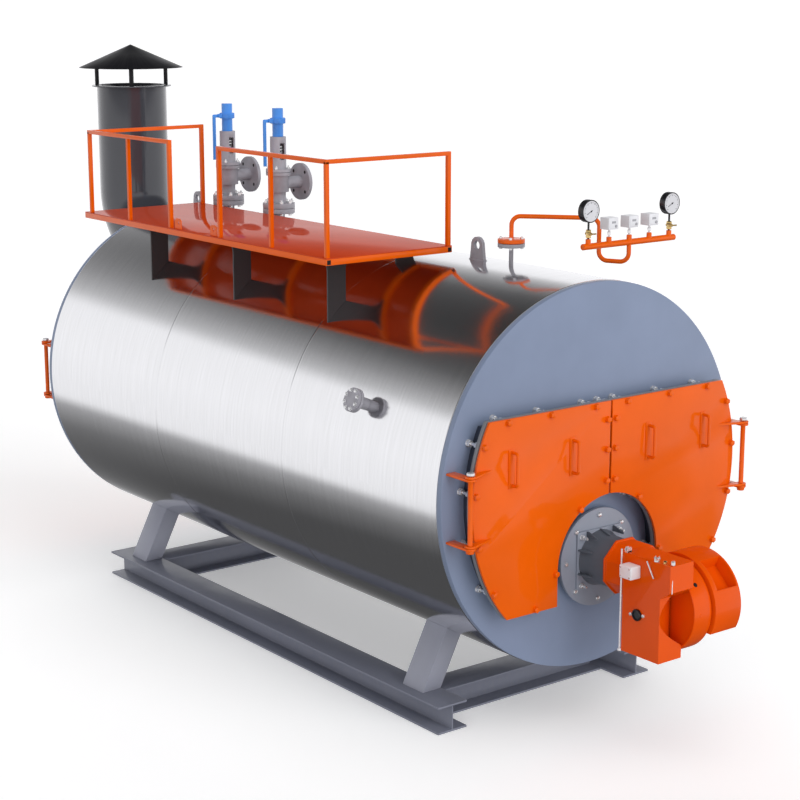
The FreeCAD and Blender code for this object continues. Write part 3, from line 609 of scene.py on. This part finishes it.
floor_mesh = bpy.data.meshes.new("floor")
floor_bm = bmesh.new()
bmesh.ops.create_grid(floor_bm, x_segments=1, y_segments=1, size=900.0)
floor_bm.to_mesh(floor_mesh)
floor_bm.free()
floor = bpy.data.objects.new("floor", floor_mesh)
bpy.context.scene.collection.objects.link(floor)
floor.visible_glossy = False
floor.visible_diffuse = False
floor.visible_shadow = False
floor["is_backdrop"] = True
floor_finish = Finish("floor_paint")
floor_noise = floor_finish.noise(floor_finish.place(), 0.6, 2.0)
floor_finish.set(Base_Color=floor_finish.mix(floor_noise, (0.96, 0.96, 0.965, 1.0), (0.99, 0.99, 0.995, 1.0)))
floor_finish.shader.inputs["Roughness"].default_value = 0.9
floor_finish.shader.inputs["Specular IOR Level"].default_value = 0.0
floor_finish.shader.inputs["Emission Color"].default_value = (1.0, 1.0, 1.0, 1.0)
floor_finish.shader.inputs["Emission Strength"].default_value = 0.27
floor_mesh.materials.append(floor_finish.material)
print("camera, lights and floor are in place")


# %% [markdown]
# ## The base: rolled beams, saddles and end plates
# Rolled beams have rounded flange edges, and sawn plates have a small rub of paint on each edge.
# A mesh that leaves the frame has perfectly sharp edges, which catch no light. So each of these
# nodes is copied, its sharp edges are bevelled by a few millimetres, and the copy stands for it.

# %% Beams, saddles, end plates, smoke boxes
for node in ("base_beam_left", "base_beam_right", "base_crossbeam_front", "base_crossbeam_rear"):
    softened(node, SLATE_DARKENED_AS_SHADE, 0.003)
for node in ("saddle_legs_front", "saddle_legs_rear"):
    softened(node, LEG_GREY, 0.002)
for node in ("front_plate", "rear_plate"):
    softened(node, PLATE_BLUE, 0.003)
for node in ("front_smoke_box", "rear_smoke_box"):
    smoke_box = softened(node, NAVY_DEEPENED_AS_SHADE, 0.002)
    second_finish(smoke_box, FLANGE_GREY,
                  lambda spot: max(front_face - spot.y, spot.y - rear_face) > FLANGE_BACK + 0.0001)
print("beam", round(high("base_beam_left").z, 3), "m deep")


# %% [markdown]
# ## The cladding
# Each cladding ring is a rolled sheet. The frame's ring has flat facets, and a mirror finish shows
# every one of them as a stripe. So each ring is spun again as a profile with 256 steps. The edges of
# the sheet are turned down a little, and where two rings meet, the two small radii make the seam.

# %% Spin the three rings
def cladding_ring(node, edge=0.003):
    start, end = low(node).y, high(node).y
    outer, inner = shell_radius, shell_radius - 0.022
    profile = [(inner, start), (outer - edge, start), (outer - edge * 0.3, start + edge * 0.3),
               (outer, start + edge), (outer, start + 2 * edge), (outer, end - 2 * edge), (outer, end - edge),
               (outer - edge * 0.3, end - edge * 0.3), (outer - edge, end), (inner, end)]
    bm = spun(profile, 256)
    bmesh.ops.rotate(bm, verts=bm.verts, cent=(0, 0, 0), matrix=Matrix.Rotation(radians(-90), 3, "X"))
    bmesh.ops.translate(bm, verts=bm.verts, vec=(shell.x, 0, shell.z))
    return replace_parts(finished(node + "_sheet", bm, STEEL), node)


for node in ("cladding_front", "cladding_middle", "cladding_rear"):
    ring = cladding_ring(node)
    print(node, len(ring.data.polygons), "faces")


# %% [markdown]
# ## The doors and what holds them shut
# Each end has two thick steel doors that meet in the middle. They are cut from plate, so their edges
# are crisp with a small chamfer. Hexagon bolts go through the door and the smoke box's flange. The
# head belongs to the door. The nut behind the flange, and the stud from there back to the end plate,
# belong to the shell, so that a door can swing.

# %% Doors, handles and hinges
for end in ("front", "rear"):
    for side in ("left", "right"):
        door = f"{end}_door_{side}"
        softened(door, ORANGE, 0.0025, door)
        softened(door + "_handles", ORANGE, 0.0015, door)
    softened(end + "_hinge_arms", ORANGE, 0.002)
    pins = softened(end + "_hinge_pins", ORANGE, 0.004, segments=3)
    pin_top = high(end + "_hinge_pins").z
    second_finish(pins, ZINC, lambda spot: spot.z > pin_top - 0.0185)

door_radius = 0.990
door_low, door_high = low("front_door_left").z, high("front_door_left").z
arch_radius = 0.379
arch_z = burner_z + 0.006
flange_back = front_face - FLANGE_BACK
print(f"doors from {door_low:.3f} to {door_high:.3f} m")


# %% Where the door bolts go
def edge_bolts(arched):
    """(x, z) of every bolt on the right half of one end, seen from outside."""
    inset = 0.018
    top, bottom = door_high - inset, door_low + inset
    places = [(0.118, top), (0.446, top), (0.752, top)]
    for z in (1.781, 1.525, 1.237, 0.961):
        places.append((sqrt((door_radius - inset) ** 2 - (z - shell.z) ** 2), z))
    places += [(0.031, z) for z in (1.807, 1.637, 1.461)]
    if arched:
        places += [(0.540, bottom), (0.225, arch_z + 0.325), (0.396, arch_z - 0.010)]
    else:
        places += [(0.12, bottom), (0.40, bottom), (0.031, 1.25), (0.031, 1.02)]
    return places


for end, side_sign, outward, face, back in (("front", 1, -1, door_face, flange_back),
                                            ("rear", -1, 1, 2 * middle("cladding_middle").y - door_face,
                                             2 * middle("cladding_middle").y - flange_back)):
    for side, sign in (("left", -1), ("right", 1)):
        places = [(sign * side_sign * x, z) for x, z in edge_bolts(end == "front")]
        door = f"{end}_door_{side}"
        bolts(door + "_bolts", hex_head(0.030, 0.017), [(x, face, z) for x, z in places],
              Y * outward, ORANGE, door)
        outer = [(x, z) for x, z in places if abs(x) > 0.05] + [(0.0, door_high - 0.018)] * (side == "left")
        bolts(door + "_nuts", hex_head(0.030, 0.018), [(x, back, z) for x, z in outer], -Y * outward, ZINC)
        plate_face_y = back - outward * FLANGE_BACK
        bolts(door + "_plate_nuts", hex_head(0.034, 0.022), [(x, plate_face_y, z) for x, z in outer],
              Y * outward, ZINC)
        studs = bmesh.new()
        for x, z in outer:
            add(studs, bar_mesh([(x, plate_face_y, z), (x, back, z)], 0.009, sides=12))
        finished(door + "_studs", studs, ZINC)
print("bolts on a front door:", len(edge_bolts(True)))


# %% [markdown]
# ## The door seal
# Between the flange and the door lies a pale braided seal, a thin ring with the outline of the
# flange. Its two outlines are filled with faces in one go by triangle_fill, and the ring is then
# pulled to its thickness.

# %% Seal rings
def door_corners(inset, arched, steps=48):
    """The outline of both doors together, pulled in by the inset."""
    radius = door_radius - inset
    top, bottom = door_high - inset - shell.z, door_low + inset - shell.z
    top_x, low_x = sqrt(radius ** 2 - top ** 2), sqrt(radius ** 2 - bottom ** 2)
    start, end = atan2(bottom, low_x), atan2(top, top_x)
    right = [start + (end - start) * k / steps for k in range(steps + 1)]
    points = [(radius * cos(a), shell.z + radius * sin(a)) for a in right]
    points += [(-x, z) for x, z in reversed(points)]
    if arched:
        reach = arch_radius + inset
        turns = [pi - pi * k / steps for k in range(steps + 1)]
        points.append((-reach, shell.z + bottom))
        points += [(reach * cos(a), arch_z + reach * sin(a)) for a in turns]
        points.append((reach, shell.z + bottom))
    return points


def seal_ring(name, arched, face, thickness):
    bm = bmesh.new()
    edges = []
    for inset in (0.010, 0.052):
        corners = [bm.verts.new((x, face, z)) for x, z in door_corners(inset, arched)]
        edges += [bm.edges.new(pair) for pair in zip(corners, corners[1:] + corners[:1])]
    bmesh.ops.triangle_fill(bm, edges=edges, use_beauty=True)
    pulled = bmesh.ops.extrude_face_region(bm, geom=bm.faces[:])
    verts = [item for item in pulled["geom"] if isinstance(item, bmesh.types.BMVert)]
    bmesh.ops.translate(bm, verts=verts, vec=(0, thickness, 0))
    return finished(name, bm, SEAL)


seal_ring("front_door_seal", True, front_face - FLANGE_FACE, -0.005)
seal_ring("rear_door_seal", False, rear_face + FLANGE_FACE, 0.005)
print("seals made")


# %% [markdown]
# ## The burner
# The burner is an orange casting: a box that hangs in front of the doors, with a fan drum and an air
# intake beside it. Castings have large soft radii, so these nodes get a wider bevel with more
# segments. The grey mount behind it is turned and welded: eight bolts, four studs and small gussets.

# %% Burner castings
softened("burner_mount", MOUNT_GREY, 0.003)
throat = softened("burner_throat", THROAT_GREY, 0.003)
mount_face = low("burner_mount").y
second_finish(throat, MOUNT_GREY, lambda spot: spot.y > mount_face - 0.0125)
for part, edge_width, steps in (("head", 0.004, 3), ("body", 0.009, 4),
                                ("fan_housing", 0.006, 3), ("air_intake", 0.007, 3)):
    softened("burner_" + part, BURNER_ORANGE_DEEPENED_AS_SHADE, edge_width, segments=steps)
softened("burner_junction_box", WHITE, 0.006, segments=4)
print("burner body", [round(size, 3) for size in high("burner_body") - low("burner_body")])

# %% Bolts, studs and gussets of the mount
plate_face = mount_face - 0.012
plate_half = high("burner_throat").x
domed_head = spun([(0, 0), (0.0135, 0), (0.0135, 0.008), (0.0105, 0.012), (0.005, 0.0138), (0, 0.0140)], 32)
bolts("burner_mount_bolts", domed_head,
      ring_places((0, mount_face, burner_z), 0.244, 8, -Y), -Y, ZINC)
stud = plate_half - 0.030
bolts("burner_plate_nuts", nut_on_stud(0.026, 0.018, 0.030),
      [(x * stud, plate_face, burner_z + z * stud) for x in (-1, 1) for z in (-1, 1)], -Y, ZINC)

gusset = sheet([(0, 0), (0.085, 0), (0.085, 0.010), (0.014, 0.033), (0, 0.033)], [], 0.008)
bevel_sharp(gusset, 0.001, 1)
gusset_stands = []
for turn, offsets in ((0, (-0.10, 0.0, 0.10)), (90, (-0.07, 0.07)), (-90, (-0.07, 0.07))):
    for offset in offsets:
        roll = Matrix.Rotation(radians(turn), 4, "Y")
        basis = Matrix(((0, 0, 1), (-1, 0, 0), (0, 1, 0))).to_4x4()
        basis.translation = (offset - 0.004, plate_face, 0.135)
        gusset_stands.append(Matrix.Translation((0, 0, burner_z)) @ roll @ basis)
copies("burner_throat_gussets", gusset, gusset_stands, THROAT_GREY)
print("mount bolted")

# %% The sight port
port_high = high("burner_sight_port")
port = middle("burner_sight_port")
sight = spun([(0, 0), (0.033, 0), (0.033, 0.010), (0.030, 0.013), (0.023, 0.014), (0.021, 0.008),
              (0, 0.008)], 40)
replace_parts(copies("burner_sight_glass", sight, [facing((port_high.x, port.y, port.z), -X)], BLACK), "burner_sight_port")
bolts("burner_sight_screws", socket_screw(0.010, 0.009),
      [(port_high.x, port.y + side * 0.047, port.z - side * 0.006) for side in (-1, 1)], -X, ZINC)
print("sight port fitted")

# %% Hinge rod, clevises and damper links
left, front, bottom = low("burner_body")
rear, top = high("burner_body").y, high("burner_body").z
rod_bm = bar_mesh([(left - 0.006, rear + 0.006, bottom + 0.010),
                   (left - 0.006, rear + 0.006, top + 0.016)], 0.006)
add(rod_bm, bar_mesh([(left + 0.030, front + 0.012, top + 0.022),
                      (left + 0.012, front - 0.004, top - 0.150)], 0.003, sides=12))
add(rod_bm, bar_mesh([(left - 0.012, front + 0.162, top - 0.004),
                      (left - 0.010, front + 0.112, top - 0.090)], 0.004, sides=12))
finished("burner_rods", rod_bm, ZINC)


def clevis(width, length, height):
    """A fork: two rounded cheeks on a block, with a pin through them."""
    bm = bmesh.new()
    cheek = sheet([(0, 0), (length, 0), (length, height * 0.7), (length * 0.75, height),
                   (length * 0.25, height), (0, height * 0.7)], [], 0.003)
    bevel_sharp(cheek, 0.0008, 1)
    for z in (0, width - 0.003):
        add(bm, cheek, Matrix.Translation((-length / 2, 0, z - width / 2)))
    cheek.free()
    block = box_shape((length, height * 0.30, width), 0.001)
    add(bm, block, Matrix.Translation((0, height * 0.15, 0)))
    block.free()
    pin = spun([(0, -width * 0.8), (0.004, -width * 0.8), (0.004, width * 0.8), (0, width * 0.8)], 16)
    add(bm, pin, Matrix.Translation((0, height * 0.65, 0)))
    pin.free()
    return bm


upright = Matrix.Rotation(radians(90), 4, "X")
copies("burner_clevises", clevis(0.022, 0.034, 0.030),
       [Matrix.Translation((left + 0.016, y, top)) @ Matrix.Rotation(radians(turn), 4, "Z") @ upright
        for y, turn in ((rear - 0.020, 0), (front + 0.115, 30))], ZINC)
bolts("burner_rod_foot", hex_head(0.018, 0.012), [(left - 0.006, rear + 0.006, bottom - 0.002)], Z, ZINC)
bolts("burner_damper_knob", spun([(0, 0), (0.011, 0), (0.011, 0.014), (0.006, 0.020), (0, 0.021)], 24),
      [(left + 0.020, front + 0.060, top - 0.002)], Z, BRASS)
bolts("burner_damper_end",
      spun([(0, 0), (0.007, 0), (0.012, 0.006), (0.012, 0.022), (0.007, 0.028), (0, 0.028)], 24),
      [(left + 0.030, front + 0.012, top - 0.002)], Z, ZINC)
print("rods and links fitted")

# %% Painted shade of tappings in the drums, and screws on the covers
fan = middle("burner_fan_housing")
fan_radius = high("burner_fan_housing").z - fan.z


def on_the_drum(name, plug, spots, material):
    """One plug shape at several angles above the drum's front, each a little inside its middle."""
    stands = []
    for angle, inwards in spots:
        way = Vector((0, -cos(radians(angle)), sin(radians(angle))))
        stands.append(facing(Vector((fan.x - inwards, fan.y, fan.z)) + way * fan_radius, way))
    copies(name, plug, stands, material)


# A dark disc on the drum is the painted shade of a tapped hole.
on_the_drum("burner_fan_tapping_shades",
            spun([(0, 0.0012), (0.011, 0.0012), (0.013, 0.0), (0.013, -0.004), (0, -0.004)], 24),
            ((39, 0.010),), SHADE_BLACK)
on_the_drum("burner_fan_plugs",
            spun([(0, 0.002), (0.008, 0.002), (0.011, 0.0), (0.011, -0.004), (0, -0.004)], 6),
            ((1, 0.020), (55, 0.035)), BURNER_ORANGE_DEEPENED_AS_SHADE)
intake = high("burner_air_intake")
cover_places = ring_places((intake.x, fan.y, fan.z), 0.235, 8, X, radians(22.5))
bolts("burner_intake_screws", socket_screw(0.008, 0.007),
      [place for place in cover_places if place.z > fan.z - 0.10], X, ZINC)
box_low, box_high = low("burner_junction_box"), high("burner_junction_box")
bolts("junction_box_screws", socket_screw(0.005, 0.003),
      [(box_low.x, y, z) for y in (box_low.y + 0.012, box_high.y - 0.012)
       for z in (box_low.z + 0.012, box_high.z - 0.012)], -X, ZINC)
print("drum tapping shades fitted")


# %% [markdown]
# ## The deck, the railings and the ladder brackets
# The deck is a thin painted sheet on square tube. The paint is glossy enough to mirror the sky. The
# railings are square tube, mitred at the corners. Two small brackets at the gate are for a ladder.

# %% Deck and railings
softened("deck_plate", DECK_RED, 0.001)
softened("deck_frame", ORANGE, 0.003)
softened("railing_front", ORANGE, 0.002)
softened("railing_rear", ORANGE, 0.002)
deck_low, deck_high = low("deck_frame"), high("deck_frame")
deck_floor = high("deck_plate").z
corner_posts = bmesh.new()
for rail, corner_y in (("railing_front", low("railing_front").y + 0.012),
                       ("railing_rear", high("railing_rear").y - 0.012)):
    post_top = high(rail).z - 0.012
    post = box_shape((0.024, 0.024, post_top - deck_floor), 0.002)
    add(corner_posts, post, Matrix.Translation((low(rail).x + 0.012, corner_y, (post_top + deck_floor) / 2)))
    post.free()
finished("railing_corner_posts", corner_posts, ORANGE)

# %% Deck supports: a flared leg on the left, a short web on the right
def shell_height(x):
    return shell.z + sqrt(shell_radius ** 2 - x ** 2)


def foot(*across):
    """Corners that follow the cladding, half a millimetre into it."""
    return [(x, shell_height(x) - 0.0005) for x in across]


def flare_corners(x, side):
    """A quarter circle from the leg's side up to the thin tip of its head."""
    turns = [pi / 2 * k / 8 for k in range(9)]
    return [(x + side * flare * (1 - cos(turn)), under_deck - tip - flare * (1 - sin(turn)))
            for turn in turns]


under_deck = high("deck_supports").z
leg_left, leg_right = -0.800, -0.670
web_left, web_right = -0.300, -0.169
flare, tip, support_thickness = 0.080, 0.008, 0.012
leg = foot(leg_left) + flare_corners(leg_left, -1)
leg += [(leg_left - flare, under_deck), (leg_right + flare, under_deck)]
leg += flare_corners(leg_right, 1)[::-1] + foot(leg_right, -0.702, -0.735, -0.768)
web = foot(web_right, -0.210, -0.255, web_left) + [(web_left, under_deck), (web_right, under_deck)]
support_faces = sorted({round(vert.co.y, 3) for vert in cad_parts["deck_supports"].data.vertices})
supports = bmesh.new()
for outline in (leg, web):
    support = sheet(outline, [], support_thickness)
    bevel_sharp(support, 0.001, 1)
    for y in support_faces[1::2]:
        stand = Matrix(((1, 0, 0), (0, 0, -1), (0, 1, 0))).to_4x4()
        stand.translation = (0, y, 0)
        add(supports, support, stand)
    support.free()
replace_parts(finished("deck_legs", supports, SUPPORT_PAINTED_SHADE), "deck_supports")

# %% Ladder brackets and tube ends
bracket = sheet([(0, 0), (0.075, 0), (0.075, 0.052), (0.060, 0.066), (0.015, 0.066), (0, 0.052)],
                [(0.0375, 0.038, 0.011)], 0.005)
bevel_sharp(bracket, 0.001, 1)
stands = []
for y in (high("railing_front").y + 0.033, low("railing_rear").y - 0.108):
    stand = Matrix(((0, 0, 1), (1, 0, 0), (0, 1, 0))).to_4x4()
    stand.translation = (deck_low.x + 0.020, y, deck_high.z + 0.005)
    stands.append(stand)
copies("ladder_brackets", bracket, stands, ORANGE)
# Thin dark boxes at the four tube ends are painted shade of the open tubes' insides.
copies("deck_tube_bore_shades", box_shape((0.026, 0.003, 0.026)),
       [Matrix.Translation((x, y, (deck_low.z + deck_high.z) / 2))
        for x in (deck_low.x + 0.018, deck_high.x - 0.018)
        for y in (deck_low.y + 0.001, deck_high.y - 0.001)], SHADE_BLACK)
print("deck", round(deck_high.y - deck_low.y, 3), "m long")


# %% [markdown]
# ## The flue
# The flue is a rolled pipe with one wide bend, and its paint is dark and glossy. A cowl on four
# round bars keeps the rain out.

# %% Flue and cowl
softened("flue_pipe", FLUE_GREY, 0.002, angle=radians(40))
softened("flue_cap", CAP_BLACK, 0.003, angle=radians(40))
softened("flue_cap_struts", CAP_BLACK, 0.001)
flue_top = high("flue_pipe")
print("flue top at", round(flue_top.z, 3))


# %% [markdown]
# ## The safety valves
# A safety valve holds its disc down with a coil spring. The spring shows through a window in the
# bonnet. It is made as a helix, a curve through points that climb as they turn, given a round
# section. The flanges are held by nuts above and below, and the outlet flange's bolt holes are
# dark discs of painted shade on both its faces.

# %% Valve castings
valve_y = {end: middle("safety_valve_" + end).y for end in ("front", "rear")}
softened("safety_valve_necks", CAST_GREY, 0.002, segments=3)
for end in ("front", "rear"):
    softened("safety_valve_" + end, CAST_GREY, 0.002, segments=2)
    softened("safety_valve_" + end + "_cap", BLUE, 0.004, segments=3)
    softened("safety_valve_" + end + "_lever", BLUE, 0.0012, "lever_" + end)
print("valves at y", valve_y)


# %% Springs, nuts and bolts of a valve
def coil(centre, radius, height, turns, wire):
    steps = 18 * turns
    points = []
    for k in range(steps + 1):
        angle = 2 * pi * turns * k / steps
        points.append((centre.x + radius * cos(angle), centre.y + radius * sin(angle),
                       centre.z + height * k / steps))
    return bar_mesh(points, wire, sides=8)


flange_low, flange_high = shell_top + 0.082, shell_top + 0.149
bonnet_low = shell_top + 0.335
for end, y in valve_y.items():
    name = "safety_valve_" + end
    spring = coil(Vector((0, y, bonnet_low + 0.052)), 0.033, 0.145, 7, 0.0065)
    add(spring, bar_mesh([(0, y, bonnet_low + 0.002), (0, y, bonnet_low + 0.205)], 0.010))
    finished(name + "_spring", spring, SPRING_STEEL)
    around = ring_places((0, y, flange_high), 0.088, 8, Z, radians(22.5))
    bolts(name + "_flange_nuts", nut_on_stud(0.022, 0.014, 0.012), around, Z, ZINC)
    under = [(x, v, flange_low) for x, v, z in around]
    bolts(name + "_flange_heads", hex_head(0.022, 0.012), under, -Z, ZINC)
    shanks = bmesh.new()
    for x, v, z in around:
        add(shanks, bar_mesh([(x, v, flange_low), (x, v, flange_high)], 0.007, sides=12))
    finished(name + "_flange_studs", shanks, ZINC)
    # A thin dark band round the bonnet is the painted shade of a groove.
    groove_shade_band = spun([(0.080, -0.0014), (0.0843, -0.0014), (0.0843, 0.0014), (0.080, 0.0014)], 64)
    bolts(name + "_bonnet_groove_shade", groove_shade_band, [(0, y, bonnet_low + 0.022)], Z, SHADE_BLACK)
    bonnet_nuts = ring_places((0, y, bonnet_low + 0.044), 0.069, 4, Z, radians(45))
    bolts(name + "_bonnet_nuts", nut_on_stud(0.017, 0.011, 0.012), bonnet_nuts, Z, ZINC)
print("springs wound")


# %% The collar's ribs, and painted shade for the outlet flange's holes
for end, y in valve_y.items():
    name = "safety_valve_" + end
    stands = [Matrix.Translation((0, y, shell_top + 0.698)) @ Matrix.Rotation(2 * pi * k / 28, 4, "Z")
              @ Matrix.Translation((0.0495, 0, 0)) for k in range(28)]
    rib = box_shape((0.005, 0.004, 0.034), 0.0012, 2)
    copies(name + "_collar_ribs", rib, stands, BLUE)
    # Dark discs on both faces of the outlet flange are the painted shade of its bolt holes.
    hole_shade = spun([(0, 0.0006), (0.0105, 0.0006), (0.0115, 0.0), (0.0115, -0.003), (0, -0.003)], 20)
    outlet = Vector((high(name).x, y, shell_top + 0.282))
    places = ring_places(outlet, 0.094, 4, X, radians(45))
    stands = [stand for place in places for stand in (facing(place, X), facing(place - X * 0.024, -X))]
    copies(name + "_outlet_hole_shades", hole_shade, stands, SHADE_BLACK)
print("valves finished")


# %% [markdown]
# ## The lifting lugs, the side nozzle and the gauge line
# The lugs are thick plates welded to the shell, with a fillet of weld along each foot. The gauge line
# is a bent pipe that ends in a header, which carries two dial gauges and three pressure switches.

# %% Lugs and welds
for end in ("front", "rear"):
    node = "lifting_lug_" + end
    softened(node, CAST_GREY, 0.003, segments=3)
    x0, x1, y0, y1 = low(node).x - 0.001, high(node).x + 0.001, low(node).y, high(node).y
    weld = bmesh.new()
    corners = (x0, y0), (x1, y0), (x1, y1), (x0, y1)
    for start, stop in zip(corners, corners[1:] + corners[:1]):
        add(weld, bar_mesh([(*start, shell_top - 0.001), (*stop, shell_top - 0.001)], 0.006, sides=12))
    finished(node + "_weld", weld, CAST_GREY)

# %% Side nozzle
softened("side_nozzle", CAST_GREY, 0.002)
softened("side_nozzle_cover", CAST_GREY, 0.002)
nozzle_level = radians(22.2)
nozzle_way = Vector((-cos(nozzle_level), 0, sin(nozzle_level)))
cover_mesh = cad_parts["side_nozzle_cover"].data
cover_face = max((vert.co - shell).dot(nozzle_way) for vert in cover_mesh.vertices)
nozzle_foot = Vector((0, middle("side_nozzle_cover").y, shell.z)) + nozzle_way * cover_face
bolts("side_nozzle_nuts", nut_on_stud(0.018, 0.009, 0.003),
      ring_places(nozzle_foot, 0.054, 8, nozzle_way, radians(22.5)), nozzle_way, ZINC)
print("side nozzle cover stands", round(cover_face - shell_radius, 3), "m proud")

# %% Gauge line
softened("gauge_nozzle", CAST_GREY, 0.0015)
gauge_pipe = softened("gauge_pipe", ORANGE, 0.001, angle=radians(50))
pipe_foot = low("gauge_pipe").z
second_finish(gauge_pipe, CAST_GREY, lambda spot: spot.z < pipe_foot + 0.0175 and spot.y > 0)
softened("gauge_header", ORANGE, 0.003, angle=radians(50), segments=3)
softened("pressure_gauges", BLACK, 0.004, segments=3)
softened("pressure_controllers", WHITE, 0.004, segments=4)
print("gauge flange top", round(high("gauge_nozzle").z, 3))

# %% Gauge dials: scale, hand, hub and rim
gauge_boxes = low("pressure_gauges"), high("pressure_gauges")
gauge_radius = 0.064
gauge_z = gauge_boxes[1].z - gauge_radius
gauge_face = gauge_boxes[0].y
gauge_places = [gauge_boxes[0].x + gauge_radius, gauge_boxes[1].x - gauge_radius]
header = middle("gauge_header")
stub_top = high("gauge_header").z


def dial_mark(radius, length, width, angle):
    """A short bar on the dial, standing off the face by the thickness of its ink."""
    bm = box_shape((width, 0.0008, length))
    turn = Matrix.Rotation(angle, 4, "Y")
    bmesh.ops.transform(bm, matrix=turn @ Matrix.Translation((0, 0, radius)), verts=bm.verts)
    return bm


dials, marks, rims = bmesh.new(), bmesh.new(), bmesh.new()
dial = spun([(0, 0), (0.0575, 0), (0.0575, 0.0012), (0, 0.0012)], 64)
rim = spun([(0.0575, -0.004), (0.0637, -0.004), (0.0637, 0.0), (0.0625, 0.0030), (0.0592, 0.0030),
            (0.0575, 0.0)], 64)
for x in gauge_places:
    place = Vector((x, gauge_face, gauge_z))
    add(dials, dial, facing(place + Y * 0.0002, -Y))
    add(rims, rim, facing(place + Y * 0.0035, -Y))
    for k in range(41):
        long_mark = k % 5 == 0
        length = 0.008 if long_mark else 0.0045
        mark = dial_mark(0.051 - length / 2, length, 0.0018 if long_mark else 0.0009,
                         radians(-135 + 270 * k / 40))
        add(marks, mark, Matrix.Translation(place - Y * 0.0011))
        mark.free()
    hand = dial_mark(0.012, 0.048, 0.0024, radians(-118))
    add(marks, hand, Matrix.Translation(place - Y * 0.0024))
    hand.free()
    hub = spun([(0, 0), (0.005, 0), (0.005, 0.002), (0.004, 0.0030), (0, 0.0030)], 24)
    add(marks, hub, facing(place - Y * 0.0010, -Y))
    hub.free()
dial.free()
rim.free()
finished("gauge_dials", dials, DIAL)
finished("gauge_marks", marks, BLACK)
finished("gauge_rims", rims, BLACK)
print("gauge face at y", round(gauge_face, 3))

# %% Cocks under the gauges
cocks, handles = bmesh.new(), bmesh.new()
body_shape = spun([(0, 0), (0.013, 0), (0.016, 0.003), (0.016, 0.013), (0.0145, 0.016), (0.0145, 0.030),
                   (0.016, 0.033), (0.016, 0.043), (0.012, 0.047), (0, 0.047)], 6)
for x in gauge_places:
    foot = Vector((x, header.y, stub_top + 0.006))
    add(cocks, body_shape, Matrix.Translation(foot))
    key = bar_mesh([foot + Vector((0, end, 0.024)) for end in (-0.026, 0.020)], 0.008, sides=12)
    add(cocks, key)
    key.free()
    tee = bar_mesh([foot + Vector((side, -0.030, 0.024)) for side in (-0.030, 0.030)], 0.0045, sides=12)
    add(handles, tee)
    tee.free()
body_shape.free()
finished("gauge_cocks", cocks, BRASS)
finished("gauge_cock_handles", handles, BRASS)

# %% Nipples, flange bolts and the controllers' faces
nipple = spun([(0, 0), (0.012, 0), (0.012, 0.016), (0.010, 0.020), (0, 0.020)], 6)
controller_low, controller_high = low("pressure_controllers"), high("pressure_controllers")
controller_x = [controller_low.x + 0.037, middle("pressure_controllers").x, controller_high.x - 0.037]
copies("controller_nipples", nipple,
       [Matrix.Translation((x, header.y, stub_top + 0.010)) for x in controller_x], ZINC)

plates, windows = bmesh.new(), bmesh.new()
lid = box_shape((0.062, 0.004, 0.054), 0.0018, 3)
scale_window = box_shape((0.030, 0.0016, 0.012), 0.0005, 2)
knob = spun([(0, 0), (0.008, 0), (0.008, 0.004), (0.0065, 0.006), (0, 0.006)], 20)
for x in controller_x:
    face = Vector((x, controller_low.y, controller_high.z - 0.033))
    add(plates, lid, Matrix.Translation(face - Y * 0.0005))
    add(windows, scale_window, Matrix.Translation(face - Y * 0.0028 + Z * 0.008))
    add(windows, knob, facing(face + Vector((0.016, -0.0020, -0.014)), -Y))
for shape in (lid, scale_window, knob):
    shape.free()
finished("controller_lids", plates, WHITE)
finished("controller_scales", windows, PRINT)
gauge_y, flange_top, flange_foot = 0.081, shell_top + 0.157, shell_top + 0.110
for name, bolt, height, way in (("nuts", nut_on_stud(0.017, 0.010, 0.004), flange_top, Z),
                                ("heads", hex_head(0.019, 0.010), flange_foot, -Z)):
    places = ring_places((0, gauge_y, height), 0.061, 4, Z, radians(45))
    bolts("gauge_flange_" + name, bolt, places, way, ZINC)
print("gauge line fitted")


# %% [markdown]
# ## Last looks: frame nodes that are still bare, and the two boxes
# A piece stands for every frame node by now, and the list shows any node that was missed. How far
# the finished boiler's box grows past the frame's box is printed.

# %% Bare nodes, sizes, finish
bare = [node for node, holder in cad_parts.items() if not holder.hide_render]
print("nodes still shown as they came:", bare)
finished_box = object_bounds()
growth = [round(1000 * value, 1) for value in (cad_box[0] - finished_box[0]) + (finished_box[1] - cad_box[1])]
print("grown by, in mm:", growth)
